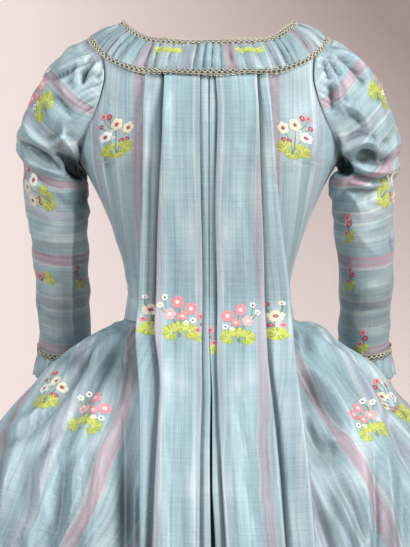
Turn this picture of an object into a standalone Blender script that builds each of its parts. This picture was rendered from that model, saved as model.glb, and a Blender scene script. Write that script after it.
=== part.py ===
"""Robe a la francaise: an open gown of striped silk with box pleats down the back.

The gown keeps the form it has when it is worn. Every cloth piece is a thin wall: a grid of
points on the middle of the cloth, thickened by a Solidify modifier. The wearer faces +Y, so the
pleated back faces -Y, and the wearer's right is +X. The origin is between the shoulders, at the
height of the shoulder seams, where the wearer holds the gown up.

Tables are in millimetres and the functions turn them into metres.
"""

from collections import namedtuple

import bpy
import numpy as np

MM = 0.001

# Driving sizes
WALL = 1.1 * MM  # thickness of every cloth wall
SEAM_GAP = 0.5 * MM  # half of the parting between two pieces sewn edge to edge
PLY = 1.6 * MM  # from the middle of one cloth to the middle of the next one lying on it
WAIST = -362 * MM  # height of the waist seam at the sides
WAIST_DIP_BACK = 13 * MM
WAIST_DIP_FRONT = 9 * MM
SHOULDER_SLOPE = 0.31
SHOULDER_NECK = 102 * MM  # half-width at which the shoulder slope starts
BODY_SQUARENESS = 2.5  # exponent of the superellipse that the bodice follows
ARM_DRIFT = 7 * MM  # the arms and skirt hang a little to the wearer's right
SKIRT_DRIFT = 4 * MM

# Bodice: half-width and depths of the level sections
TorsoRow = namedtuple("TorsoRow", "z half_width back_depth front_depth")
TORSO = [
    TorsoRow(9, 152, 2, 2),
    TorsoRow(4, 153, 20, 17),
    TorsoRow(0, 154, 32, 27),
    TorsoRow(-15, 158, 55, 44),
    TorsoRow(-30, 162, 69, 56),
    TorsoRow(-56, 167, 84, 76),
    TorsoRow(-90, 170, 94, 96),
    TorsoRow(-120, 170, 99, 109),
    TorsoRow(-156, 165, 101, 117),
    TorsoRow(-185, 150, 100, 118),
    TorsoRow(-200, 142, 99, 116),
    TorsoRow(-220, 133, 97, 112),
    TorsoRow(-255, 119, 93, 104),
    TorsoRow(-298, 106, 88, 95),
    TorsoRow(-322, 102, 86, 91),
    TorsoRow(-362, 107, 87, 90),
]

# Skirt: distance from the middle of the body in seven directions, by height
SkirtRow = namedtuple("SkirtRow", "z back back_hip hip side fore_side fore front")
SKIRT_DIRECTIONS = [0, 40, 70, 90, 120, 150, 180]  # degrees from the centre back
SKIRT = [
    SkirtRow(-381, 101, 129, 152, 128, 114, 102, 97),
    SkirtRow(-400, 114, 152, 184, 142, 121, 108, 102),
    SkirtRow(-420, 128, 172, 210, 156, 128, 114, 108),
    SkirtRow(-445, 144, 195, 236, 168, 132, 119, 114),
    SkirtRow(-489, 172, 232, 276, 208, 162, 141, 130),
    SkirtRow(-540, 198, 266, 312, 264, 216, 180, 158),
    SkirtRow(-620, 228, 302, 348, 322, 282, 232, 192),
    SkirtRow(-740, 262, 336, 380, 362, 328, 270, 222),
    SkirtRow(-900, 296, 366, 405, 392, 360, 303, 250),
    SkirtRow(-1120, 332, 398, 432, 422, 394, 340, 282),
    SkirtRow(-1372, 368, 430, 460, 452, 426, 375, 312),
]

# Skirt folds on one side: place along the cloth at waist and hem (0 back edge, 1 front edge),
# half-width along the cloth, and height at the hem
FoldRow = namedtuple("FoldRow", "at_waist at_hem half_width height")
SKIRT_FOLDS = [
    FoldRow(0.24, 0.225, 0.050, 17),
    FoldRow(0.33, 0.30, 0.045, 25),
    FoldRow(0.40, 0.36, 0.045, 29),
    FoldRow(0.46, 0.40, 0.040, 26),
    FoldRow(0.52, 0.48, 0.045, 32),
    FoldRow(0.58, 0.57, 0.040, 27),
    FoldRow(0.64, 0.65, 0.045, 31),
    FoldRow(0.71, 0.74, 0.045, 25),
    FoldRow(0.79, 0.83, 0.050, 22),
    FoldRow(0.90, 0.92, 0.045, 16),
]
SKIRT_COLUMNS = 35
SKIRT_LEVELS = [0, -381, -400, -425, -460, -510, -580, -700, -900, -1372]
WAIST_HEAP = [0.0, 0.28, 0.72, 1.0]  # places along the cloth ...
WAIST_HEAP_ANGLE = [30, 74, 112, 174]  # ... and where the waist seam takes them, in degrees
SKIRT_BACK_EDGE = [(-362, 46), (-646, 46), (-1372, 124)]  # height, distance from centre back
SKIRT_FRONT_EDGE = [(-362, 9), (-500, 30), (-900, 92), (-1372, 165)]  # height, from centre front

# Pleated back: distances from the centre back to each fold, for the wearer's left and right
PleatRow = namedtuple(
    "PleatRow",
    "z standoff pitch strip_l inner_l outer_l under_l strip_r inner_r outer_r under_r",
)
PLEATS = [
    PleatRow(-58.5, 0.3, 1.60, 1.5, 12.0, 54, 78, 1.5, 9.0, 58, 72),
    PleatRow(-95, 1.0, 1.65, 1.5, 12.0, 55, 79, 1.5, 11.0, 59, 75),
    PleatRow(-145, 1.5, 1.80, 1.5, 11.5, 56, 79, 1.5, 10.0, 60, 78),
    PleatRow(-205, 2.5, 2.00, 1.5, 10.5, 58, 79, 1.5, 9.5, 61, 82),
    PleatRow(-265, 6.0, 2.20, 1.5, 9.5, 60, 80, 1.5, 10.0, 62, 87),
    PleatRow(-325, 9.0, 2.60, 1.5, 9.0, 61, 81, 1.5, 11.0, 63, 93),
    PleatRow(-366, 9.0, 2.90, 1.5, 9.0, 62, 81, 1.5, 11.5, 64, 96),
    PleatRow(-384, 7.0, 3.00, 1.5, 9.0, 62, 81, 1.5, 12.0, 65, 97),
    PleatRow(-404, 5.0, 3.10, 1.5, 9.0, 62, 81, 1.8, 13.0, 67, 99),
    PleatRow(-430, 4.0, 3.20, 1.5, 9.2, 62.5, 81, 2.2, 14.0, 69, 101),
    PleatRow(-470, 3.5, 3.40, 1.5, 9.8, 63.5, 81.5, 3.0, 16.0, 73, 106),
    PleatRow(-530, 3.0, 3.60, 1.5, 10.7, 65, 82, 4.8, 18.3, 79, 113),
    PleatRow(-646, 2.5, 4.40, 1.8, 12.0, 68, 85, 9.0, 22.0, 91, 128),
    PleatRow(-850, 2.5, 5.80, 2.2, 18.0, 84, 106, 11.0, 28.0, 112, 156),
    PleatRow(-1372, 2.5, 8.00, 3.0, 38.0, 142, 180, 15.0, 44.0, 168, 228),
]

# Armhole: half-width of its edge by height, alike at the back and the front
ARMHOLE = [(-8.5, 151), (-20, 144), (-34, 132.5), (-58, 130.5), (-80, 134.5),
           (-100, 141), (-120, 149.5), (-135, 157), (-148, 162), (-156, 165)]
ARMHOLE_TOP, ARMHOLE_BOTTOM = -8.5 * MM, -156 * MM
ARMHOLE_MEETS_BAND = -34 * MM  # below this height the armhole is cut in the bodice

# Neck band and robing on one side: both edges, from the centre back over the shoulder to the waist
BandRow = namedtuple("BandRow", "inner_x inner_z outer_x outer_z")
BAND_BACK = [
    BandRow(0, -17.5, 0, -56.5),
    BandRow(24, -17.5, 30, -57),
    BandRow(46, -17.0, 58, -57),
    BandRow(66, -15.0, 82, -54),
    BandRow(82, -10.0, 104, -47),
    BandRow(94, -3.0, 121, -39.5),
    BandRow(102, 3.0, 134, -30),
    BandRow(107, 7.0, 145, -18.5),
    BandRow(109, 9.0, 151, -8.5),
]
BAND_FRONT = [
    BandRow(109, 9.0, 151, -8.5),
    BandRow(109, 5.0, 146, -17.5),
    BandRow(108, -8, 137, -29),
    BandRow(106, -30, 131.5, -42),
    BandRow(100, -62, 128.5, -68),
    BandRow(91, -96, 122, -102),
    BandRow(80, -131, 112, -138),
    BandRow(68, -166, 100, -173),
    BandRow(57, -202, 88, -208),
    BandRow(46, -242, 76, -248),
    BandRow(35, -286, 64, -292),
    BandRow(24, -326, 53, -330),
    BandRow(15, -358, 44, -358),
]
BAND_GATHERS = 18
ROBING_GATHERS = 12
ROBING_LIFT = 2.8 * MM  # from the middle of the bodice front to the middle of the robing's edges
# Rows across the strip: share of its width, bulge, height of the gathers (both in
# millimetres), and share of what lies under the outer edge
BAND_ROWS = [(0.02, 0.0, 0.5, 0.3), (0.5, 3.4, 1.9, 0.7), (0.974, 0.0, 0.5, 1.0)]
TRIM_WIDTH = 6 * MM
TRIM_WALL = 1.2 * MM
TRIM_LIFT = 3.2 * MM
SHOULDER_TRIM_LIFT = 2.6 * MM
TRIM_STATIONS = 67

# Front neckline under the robing: distance from the centre front, height
FRONT_NECKLINE = [(0, -150), (60, -146), (80, -136), (95, -118), (108, -90), (120, -62), (132, -36)]

# Sleeve: the rings after the armhole. Each has an outer and an inner point, half its depth, how
# far its middle is forward, how far back and front are drawn inward, and its fold height
RingRow = namedtuple("RingRow", "outer_x outer_z inner_x inner_z half_depth forward drawn_in fold")
SLEEVE = [
    RingRow(172, -19, 167.5, -165, 66, 0, 16, 0.0),
    RingRow(196, -40, 162.5, -176, 62, 0, 10, 0.0),
    RingRow(213, -64, 157.0, -187, 58, 1, 5, 0.6),
    RingRow(226, -92, 152.0, -197, 55, 3, 2, -1.0),
    RingRow(237, -119, 149.5, -206, 52, 5, 0, 2.0),
    RingRow(242, -140, 150.5, -215, 50, 8, 0, -2.4),
    RingRow(239, -160, 152.0, -226, 48, 11, 0, 2.6),
    RingRow(234, -182, 153.5, -239, 46, 15, 0, -1.6),
    RingRow(232, -208, 155.0, -256, 45, 19, 0, 1.0),
    RingRow(229, -255, 157.0, -287, 44, 29, 0, 0.0),
    RingRow(225, -318, 158.0, -334, 42, 46, 0, 0.0),
    RingRow(223, -362, 158.0, -370, 42, 60, 0, 0.6),
    RingRow(222, -403, 157.5, -405, 42, 76, 0, 0.0),
]
PLEAT_SPREAD = 150 * MM  # least half-width of the flat section that the pleats lie on
SLEEVE_HEAD_PLEATS = 10
SLEEVE_UNDER_COLUMNS = 10
HEAD_PLEAT_HEIGHT = 1.5 * MM
SLEEVE_CLEARANCE = 1.6 * MM  # from the armhole's edge to the sleeve's
ELBOW_SLOPE = 0.26  # the sleeve end drops towards the back of the elbow
CUFF_DROP = 31 * MM
CUFF_FLARE = 7 * MM
CUFF_WAVES = 16
LACE_DROP = 43 * MM
LACE_WAVES = 14

SILK = (0.33, 0.50, 0.53)
GIMP = (0.62, 0.56, 0.40)
LACE = (0.80, 0.74, 0.62)


def column(table, name):
    """One column of a table of millimetres, in metres."""
    return np.array([getattr(row, name) for row in table], float) * MM


def pairs(table):
    """A table of pairs in millimetres, as two arrays in metres."""
    return np.array(table, float).T * MM


def smooth(knots, values, at):
    """The values at some places on a smooth curve through the knots that never overshoots."""
    knots, values = np.asarray(knots, float), np.asarray(values, float)
    if knots[0] > knots[-1]:
        knots, values = knots[::-1], values[::-1]
    step = np.diff(knots)
    rise = np.diff(values) / step
    slope = np.concatenate([rise[:1], np.zeros(len(rise) - 1), rise[-1:]])
    same_way = np.nonzero(rise[:-1] * rise[1:] > 0)[0]
    before, after = rise[same_way], rise[same_way + 1]
    slope[same_way + 1] = 2 * before * after / (before + after)
    at = np.clip(at, knots[0], knots[-1])
    i = np.clip(np.searchsorted(knots, at, side="right") - 1, 0, len(step) - 1)
    s = (at - knots[i]) / step[i]
    bend = slope[i] * step[i] * s * (1 - s) ** 2 - slope[i + 1] * step[i] * s * s * (1 - s)
    return values[i] * (1 + 2 * s) * (1 - s) ** 2 + values[i + 1] * s * s * (3 - 2 * s) + bend


def ease(value, start, end):
    """A smooth step from 0 at start to 1 at end."""
    s = np.clip((np.asarray(value, float) - start) / (end - start), 0, 1)
    return s * s * (3 - 2 * s)


def unit(vectors):
    return vectors / np.maximum(np.linalg.norm(vectors, axis=-1, keepdims=True), 1e-12)


def surface_normals(points, wrap=False):
    """Normals of a grid of points, from its two directions."""
    if wrap:
        around = np.roll(points, -1, axis=1) - np.roll(points, 1, axis=1)
    else:
        around = np.gradient(points, axis=1)
    return unit(np.cross(np.gradient(points, axis=0), around))


# The worn form


def slope_lift(x, z):
    """How far the sloping shoulder lies below a level section, at one place."""
    return SHOULDER_SLOPE * (np.abs(x) - SHOULDER_NECK) * ease(z, -60 * MM, 5 * MM)


def body_depth(x, z, side):
    """Distance of the bodice from the shoulder line at one place, behind or in front of it."""
    level = z + slope_lift(x, z)
    half_width = smooth(column(TORSO, "z"), column(TORSO, "half_width"), level)
    depth = smooth(column(TORSO, "z"), column(TORSO, side + "_depth"), level)
    within = np.clip(1 - np.abs(x / half_width) ** BODY_SQUARENESS, 0, 1)
    return depth * within ** (1 / BODY_SQUARENESS)


def body_radius(angle, z):
    """Distance of the bodice from its upright axis. The angle is 0 at the centre back."""
    half_width = smooth(column(TORSO, "z"), column(TORSO, "half_width"), z)
    back = smooth(column(TORSO, "z"), column(TORSO, "back_depth"), z)
    front = smooth(column(TORSO, "z"), column(TORSO, "front_depth"), z)
    depth = np.where(np.cos(angle) > 0, back, front)
    power = BODY_SQUARENESS
    wide = (np.abs(np.sin(angle)) / half_width) ** power
    deep = (np.abs(np.cos(angle)) / depth) ** power
    return (wide + deep) ** (-1 / power)


def skirt_radius(angle, z):
    """Distance of the skirt from the upright axis: the waist section, then the table's rows."""
    angle, z = np.broadcast_arrays(np.abs(angle), z)
    directions = np.radians(SKIRT_DIRECTIONS)
    waist = body_radius(directions, WAIST)
    heights = np.concatenate([[WAIST], column(SKIRT, "z")])
    by_direction = []
    for number, name in enumerate(SkirtRow._fields[1:]):
        reach = np.concatenate([[waist[number]], column(SKIRT, name)])
        by_direction.append(smooth(heights, reach, z))
    by_direction = np.stack(by_direction, axis=-1).reshape(-1, len(directions))
    flat_angle = angle.reshape(-1)
    radius = [smooth(directions, row, flat_angle[k]) for k, row in enumerate(by_direction)]
    return np.array(radius).reshape(angle.shape)


def around_axis(angle, z, radius):
    """Points at an angle from the centre back, on the side of +X for positive angles."""
    angle, z, radius = np.broadcast_arrays(angle, z, radius)
    return np.stack([radius * np.sin(angle), -radius * np.cos(angle), z], axis=-1)


def waist_height(angle):
    """The waist seam dips at the centre back and the centre front."""
    dip = np.where(np.cos(angle) > 0, WAIST_DIP_BACK, WAIST_DIP_FRONT)
    return WAIST - dip * np.cos(angle) ** 2


# Making the pieces


def finish(name, colour, roughness):
    material = bpy.data.materials.new(name)
    material.use_nodes = True
    shader = material.node_tree.nodes["Principled BSDF"]
    shader.inputs["Base Color"].default_value = (*colour, 1)
    shader.inputs["Roughness"].default_value = roughness
    return material


def wall(name, points, colour=SILK, roughness=0.45, wrap=False, thickness=WALL):
    """A cloth wall, with the grid of points on the middle of the cloth."""
    rows, columns = points.shape[:2]
    index = np.arange(rows * columns).reshape(rows, columns)
    if wrap:
        index = np.hstack([index, index[:, :1]])
    quads = np.stack([index[:-1, :-1], index[1:, :-1], index[1:, 1:], index[:-1, 1:]], axis=-1)
    mesh = bpy.data.meshes.new(name)
    mesh.from_pydata(points.reshape(-1, 3).tolist(), [], quads.reshape(-1, 4).tolist())
    mesh.materials.append(finish(name, colour, roughness))
    mesh.shade_smooth()
    piece = bpy.data.objects.new(name, mesh)
    bpy.context.collection.objects.link(piece)
    thicken = piece.modifiers.new("cloth thickness", "SOLIDIFY")
    thicken.thickness = thickness
    thicken.offset = 0
    thicken.use_even_offset = True
    return piece


def mirrored(points):
    return points * np.array([-1, 1, 1])


def both_sides(name, make_points, **options):
    """The piece on the wearer's right, and the same one mirrored to the left."""
    wall(name + "_right", make_points, **options)
    wall(name + "_left", mirrored(make_points), **options)


def armhole_angle(z, side):
    """Angle of the armhole's edge at one height, or of the side seam below it."""
    half_width = smooth(*pairs(ARMHOLE), z)
    angle = np.arctan2(half_width, body_depth(half_width, z, side))
    return np.where(z > ARMHOLE_BOTTOM, angle, np.pi / 2)


def bodice_panel(side, columns, rows):
    """Half of the bodice's back or front, from its neck edge to the waist seam."""
    across = np.linspace(0, 1, columns)
    down = np.linspace(0, 1, rows)[:, None]
    if side == "back":
        neck_x, neck_z = column(BAND_BACK, "outer_x"), column(BAND_BACK, "outer_z") - SEAM_GAP
    else:
        neck_x, neck_z = pairs(FRONT_NECKLINE)
    edge_x = smooth(*pairs(ARMHOLE), ARMHOLE_MEETS_BAND)
    top = smooth(neck_x, neck_z, edge_x * across) - SEAM_GAP
    top_angle = np.arctan2(edge_x * across, body_depth(edge_x * across, top, side))
    side_z = top[-1] + (WAIST - top[-1]) * down
    from_centre = across * armhole_angle(side_z, side)
    from_centre = from_centre + (top_angle - from_centre[:1]) * (1 - ease(down, 0, 0.4))
    from_centre = from_centre * (1 - 1.2 * SEAM_GAP / (110 * MM))
    angle = from_centre if side == "back" else np.pi - from_centre
    bottom = waist_height(angle[-1]) + SEAM_GAP
    z = top + (bottom - top) * down
    points = around_axis(angle, z, body_radius(angle, z + slope_lift(edge_x * across, z)))
    points[:, 0, 0] = SEAM_GAP
    return points


def make_bodice():
    both_sides("back", bodice_panel("back", 9, 12))
    both_sides("front", bodice_panel("front", 9, 13))


def skirt_side():
    """One side of the skirt: the cloth's places are heaped at the hip along the waist seam,
    and even at the hem, and the folds rise off the form."""
    place = np.linspace(0, 1, SKIRT_COLUMNS)
    levels = np.array(SKIRT_LEVELS, float)[:, None] * MM
    falling = ease(levels, WAIST, -700 * MM)
    back_x = smooth(*pairs(SKIRT_BACK_EDGE), levels)
    front_x = smooth(*pairs(SKIRT_FRONT_EDGE), levels)
    back_angle = np.arcsin(back_x / skirt_radius(np.radians(25), np.minimum(levels, WAIST)))
    front_radius = skirt_radius(np.radians(165), np.minimum(levels, WAIST))
    front_angle = np.pi - np.arcsin(front_x / front_radius)
    even = back_angle + (front_angle - back_angle) * place
    heaped = smooth(WAIST_HEAP, np.radians(WAIST_HEAP_ANGLE), place)
    angle = heaped + (even - heaped) * falling
    z = np.broadcast_to(levels, angle.shape).copy()
    z[0] = waist_height(angle[0]) - SEAM_GAP
    radius = skirt_radius(angle, np.minimum(z, WAIST))
    for fold in SKIRT_FOLDS:
        middle = fold.at_waist + (fold.at_hem - fold.at_waist) * falling
        offset = np.clip((place - middle) / fold.half_width, -1, 1)
        height = (2 + (fold.height - 2) * ease(z, WAIST, -900 * MM)) * MM
        radius = radius + height * np.cos(offset * np.pi / 2) ** 2 * ease(z, WAIST, -378 * MM)
    return around_axis(angle, z, radius)


def skirt_drift(z):
    return SKIRT_DRIFT * ease(z, WAIST, -460 * MM)


def make_skirt():
    right = skirt_side()
    left = mirrored(right)
    for name, points in (("skirt_right", right), ("skirt_left", left)):
        points[..., 0] += skirt_drift(points[..., 2])
        wall(name, points)


def pleat_path(row, side):
    """One side's cloth at one height, from the centre back outward: pairs of the distance from
    the centre back in metres and the ply counted from the body."""
    strip, inner, outer, under = (getattr(row, f + side) for f in ("strip_", "inner_", "outer_",
                                                                  "under_"))
    seam = 0.7
    turn_0 = 0.38 * outer
    turn_1 = 0.52 * outer
    turn_2 = 0.72 * outer
    end = under - 0.34 * (under - turn_2)
    runs = [(0, seam, turn_0, 2), (1, turn_0, strip, 2), (2, strip, turn_1, 3),
            (3, turn_1, inner, 3), (4, inner, outer, 5), (3, outer, turn_2, 3),
            (2, turn_2, under, 5), (1, under, end, 3)]
    path = []
    for ply, start, stop, count in runs:
        path += [(x * MM, ply) for x in np.linspace(start, stop, count)]
    return np.array(path)


def pleat_form(z):
    """The level section that the pleats lie on: flatter than the body, and the skirt below."""
    half_width = smooth(column(TORSO, "z"), column(TORSO, "half_width"), z)
    half_width = max(float(half_width), PLEAT_SPREAD)
    depth = smooth(column(TORSO, "z"), column(TORSO, "back_depth"), z)
    x = np.linspace(0, 0.9 * half_width, 200)
    y = -depth * (1 - (x / half_width) ** BODY_SQUARENESS) ** (1 / BODY_SQUARENESS)
    if z < WAIST:
        angles = np.radians(np.linspace(0, 75, 200))
        skirt = around_axis(angles, z, skirt_radius(angles, z))
        x = np.linspace(0, skirt[-1, 0], 200)
        within = np.interp(x, np.linspace(0, 0.9 * half_width, 200), y)
        y = np.minimum(np.where(x < 0.9 * half_width, within, 0),
                       np.interp(x, skirt[:, 0], skirt[:, 1]))
        y = np.minimum.accumulate(y[::-1])[::-1]
    return np.stack([x, y, np.full_like(x, z)], axis=-1)


def pleat_side(side):
    """One side of the pleated back, laid in plies over the form."""
    sections = []
    for row in PLEATS:
        z = row.z * MM
        path = pleat_path(row, side)
        form = pleat_form(z)
        outward = np.stack([np.gradient(form[:, 1]), -np.gradient(form[:, 0])], axis=-1)
        outward = unit(outward)
        x, ply = path.T
        base = np.stack([np.interp(x, form[:, 0], form[:, k]) for k in (0, 1)], axis=-1)
        normal = unit(np.stack([np.interp(x, form[:, 0], outward[:, k]) for k in (0, 1)], axis=-1))
        lift = PLY + row.standoff * MM + ply * row.pitch * MM
        flat = base + normal * lift[:, None]
        flat[:, 0] = np.maximum(flat[:, 0], 0.8 * MM)
        sections.append(np.column_stack([flat, np.full(len(flat), z)]))
    return np.array(sections)


def make_pleats():
    right = pleat_side("r")
    left = mirrored(pleat_side("l"))
    for name, points in (("pleats_right", right), ("pleats_left", left)):
        points[..., 0] += skirt_drift(points[..., 2])
        wall(name, points)


def pleat_lift(x):
    """Height of the outermost pleat over the bodice at the neck, faded out beyond the pleats."""
    top = PLEATS[0]
    stack = PLY + 4 * top.pitch * MM
    return stack * (1 - ease(np.abs(x), 56 * MM, 92 * MM))


def band_edge(table, which, side, along):
    """One edge of the band, at places counted in rows of its table."""
    rows = np.arange(len(table))
    x = smooth(rows, column(table, which + "_x"), along)
    z = smooth(rows, column(table, which + "_z"), along)
    depth = body_depth(x, z, side)
    return np.stack([x, -depth if side == "back" else depth, z], axis=-1)


def even_edges(table, side, stations):
    """Both edges of a stretch of the neck strip, at stations evenly spaced along its middle."""
    along = np.linspace(0, len(table) - 1, 600)
    inner, outer = (band_edge(table, which, side, along) for which in ("inner", "outer"))
    step = np.linalg.norm(np.diff((inner + outer) / 2, axis=0), axis=1)
    length = np.concatenate([[0], np.cumsum(step)])
    at = np.interp(np.linspace(0, length[-1], stations), length, along)
    return [band_edge(table, which, side, at) for which in ("inner", "outer")]


def neck_lines():
    """Both edges of the neck strip from the left front waist over both shoulders to the right
    front waist, with the outward direction at every station."""
    back = even_edges(BAND_BACK, "back", 2 * BAND_GATHERS + 1)
    front = even_edges(BAND_FRONT, "front", 4 * ROBING_GATHERS + 1)
    edges = []
    for behind, before in zip(back, front):
        right = np.vstack([behind, before[1:]])
        edges.append(np.vstack([mirrored(right[::-1]), right[1:]]))
    inner, outer = edges
    along = unit(np.gradient((inner + outer) / 2, axis=0))
    outward = unit(np.cross(unit(outer - inner), along))
    return inner, outer, outward


def make_neck():
    inner, outer, outward = neck_lines()
    stations = len(inner)
    over_front = ROBING_LIFT * ease(outer[:, 1], 20 * MM, 45 * MM)
    over_pleats = pleat_lift(outer[:, 0]) * (outer[:, 1] < 0)
    gather = np.cos(np.arange(stations) * np.pi / 2)
    rows = []
    for share, bulge, gathered, lifted in BAND_ROWS:
        raised = bulge * MM + gathered * MM * gather + over_front + lifted * over_pleats
        rows.append(inner + (outer - inner) * share + raised[:, None] * outward)
    strip = np.array(rows)
    shoulder = 4 * ROBING_GATHERS
    wall("neck_band", strip[:, shoulder:stations - shoulder])
    part = 2 * SEAM_GAP * unit(np.gradient((inner + outer) / 2, axis=0))
    left, right = strip[:, :shoulder + 1].copy(), strip[:, stations - shoulder - 1:].copy()
    left[:, -1] -= part[shoulder]
    right[:, 0] += part[stations - shoulder - 1]
    wall("robing_left", left)
    wall("robing_right", right)
    into = unit(outer - inner)
    middle_z = (inner[:, 2] + outer[:, 2]) / 2
    shoulder_lift = SHOULDER_TRIM_LIFT * ease(middle_z, -75 * MM, -25 * MM) * (outer[:, 1] > -20 * MM)
    trim_line("trim_neck_inner", inner, outward, into,
              over_front + 0.3 * over_pleats + shoulder_lift, 0.5)
    trim_line("trim_neck_outer", outer, outward, into,
              over_front + over_pleats + shoulder_lift, 0.65)


def trim_line(name, edge, outward, into, lift, before_edge):
    """A flat trim that lies over one edge of the neck strip."""
    picked = np.round(np.linspace(0, len(edge) - 1, TRIM_STATIONS)).astype(int)
    edge, outward, into, lift = edge[picked], outward[picked], into[picked], lift[picked]
    height = (lift + TRIM_LIFT)[:, None] * outward
    sides = [edge + height + into * TRIM_WIDTH * share for share in (-before_edge, 1 - before_edge)]
    wall(name, np.array(sides), GIMP, 0.8, thickness=TRIM_WALL)


def armhole_ring(turn):
    """The armhole's edge. The turn is 0 on the shoulder, a quarter at the back."""
    middle = (ARMHOLE_TOP + ARMHOLE_BOTTOM) / 2
    z = middle + (ARMHOLE_TOP - middle) * np.cos(turn)
    x = smooth(*pairs(ARMHOLE), z)
    depth = np.where(np.sin(turn) > 0, -body_depth(x, z, "back"), body_depth(x, z, "front"))
    return np.stack([x, depth * np.where(np.abs(np.sin(turn)) < 1e-9, 0, 1), z], axis=-1)


def sleeve_turns():
    """Places round the sleeve, two for each pleat over its head and wider ones below."""
    head = np.linspace(-100, 100, 2 * SLEEVE_HEAD_PLEATS + 1)
    under = np.linspace(100, 260, SLEEVE_UNDER_COLUMNS + 1)[1:-1]
    return np.radians(np.concatenate([head, under]))


def sleeve_rings():
    """The middle of the sleeve's cloth: a ring for each row, and their outward directions."""
    turn = sleeve_turns()
    rings = [armhole_ring(turn)]
    for row in SLEEVE:
        outer = np.array([row.outer_x, row.forward, row.outer_z])
        inner = np.array([row.inner_x, row.forward, row.inner_z])
        ring = (outer + inner) / 2 + np.cos(turn)[:, None] * (outer - inner) / 2
        ring[:, 1] -= np.sin(turn) * row.half_depth
        ring[:, 0] -= np.abs(np.sin(turn)) ** (3 - np.cos(turn)) * row.drawn_in
        inside = (1 - np.cos(turn)) / 2
        away = unit(ring - (outer + inner) / 2)
        ring += away * (row.fold * inside * (0.4 + 0.6 * np.sin(turn) ** 2))[:, None]
        rings.append(ring * MM)
    rings = np.array(rings)
    slope = ease(np.arange(len(rings)), len(rings) - 5, len(rings) - 1) * ELBOW_SLOPE
    rings[..., 2] -= slope[:, None] * (rings[..., 1].mean(axis=1)[:, None] - rings[..., 1])
    return rings, turn


def make_sleeves():
    rings, turn = sleeve_rings()
    outward = surface_normals(rings, wrap=True)
    towards = rings - rings.mean(axis=1, keepdims=True)
    outward *= np.sign(np.sum(outward * towards, axis=-1, keepdims=True))
    head = np.arange(len(turn)) <= 2 * SLEEVE_HEAD_PLEATS
    pleat = np.where(head, np.cos(np.arange(len(turn)) * np.pi), 0) * ease(np.cos(turn), -0.2, 0.3)
    fade = np.array([0.3, 0.9, 1.0, 0.6, 0.25] + [0] * (len(rings) - 5))
    cloth = rings + outward * (HEAD_PLEAT_HEIGHT * fade[:, None] * pleat)[..., None]
    cloth[..., 0] += SLEEVE_CLEARANCE
    end = rings[-1] + np.array([SLEEVE_CLEARANCE, 0, 0])
    for name, sign in (("right", 1), ("left", -1)):
        points = cloth * np.array([sign, 1, 1])
        points[..., 0] += arm_drift(points[..., 2])
        wall("sleeve_" + name, points, wrap=True)
        make_cuff(name, end * np.array([sign, 1, 1]) + np.array([ARM_DRIFT, 0, 0]))


def arm_drift(z):
    return ARM_DRIFT * ease(z, -190 * MM, -330 * MM)


def resample_ring(ring, count):
    """Evenly spaced points round a closed line."""
    closed = np.vstack([ring, ring[:1]])
    length = np.concatenate([[0], np.cumsum(np.linalg.norm(np.diff(closed, axis=0), axis=1))])
    at = np.linspace(0, length[-1], count, endpoint=False)
    return np.stack([np.interp(at, length, closed[:, k]) for k in range(3)], axis=-1)


def frill(ring, waves, rows):
    """A gathered tube below a ring. Each row gives its drop, its reach beyond the ring and the
    height of its waves."""
    base = resample_ring(ring, 4 * waves)
    outward = base - base.mean(axis=0)
    outward[:, 2] = 0
    outward = unit(outward)
    wave = np.sin(np.arange(len(base)) * np.pi / 2)[:, None]
    down = np.array([0, 0, -1])
    return np.array([base + down * drop + outward * (reach + height * wave)
                     for drop, reach, height in rows])


def make_cuff(name, end):
    gap = 1.2 * MM
    wall("cuff_" + name, frill(end, CUFF_WAVES, [
        (gap, 0, 0.7 * MM),
        (0.5 * CUFF_DROP, 0.6 * CUFF_FLARE, 2.2 * MM),
        (CUFF_DROP, CUFF_FLARE, 3.0 * MM),
    ]), wrap=True)
    wall("lace_" + name, frill(end, LACE_WAVES, [
        (gap, -4.5 * MM, 0.6 * MM),
        (LACE_DROP, 1.0 * MM, 2.7 * MM),
    ]), LACE, 0.9, wrap=True)
    band = resample_ring(end, 24)
    outward = band - band.mean(axis=0)
    outward[:, 2] = 0
    outward = unit(outward) * (3.4 * MM)
    rise = np.array([0, 0, TRIM_WIDTH / 2])
    strip = np.array([band + outward + rise, band + outward - rise])
    wall("cuff_trim_" + name, strip, GIMP, 0.8, wrap=True, thickness=TRIM_WALL)


def main():
    for old in list(bpy.data.objects):
        bpy.data.objects.remove(old, do_unlink=True)
    make_bodice()
    make_skirt()
    make_pleats()
    make_neck()
    make_sleeves()


main()
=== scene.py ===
"""Robe a la francaise, dressed: the silk, its folds, its flowers, its trims and its lace.

The gown faces +Y, so its pleated back faces -Y, and the wearer's right is +X. Every cloth piece is
a grid of points on the middle of the cloth, worked out from the same sections as the frame's solid
that it stands for, with the finer folds raised along the grid's normals. Each grid also knows where
its points lay on the flat cloth, across and along the warp, and the stripes, the weave and the
Each point also carries a painted shade, darkest in folds and hollows, that darkens the silk's colour.
Tables are in millimetres, and everything that is built is in metres.
"""

import logging
from dataclasses import dataclass, field, replace
from enum import Enum
from typing import NamedTuple, Optional, Sequence, TypeVar

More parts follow.
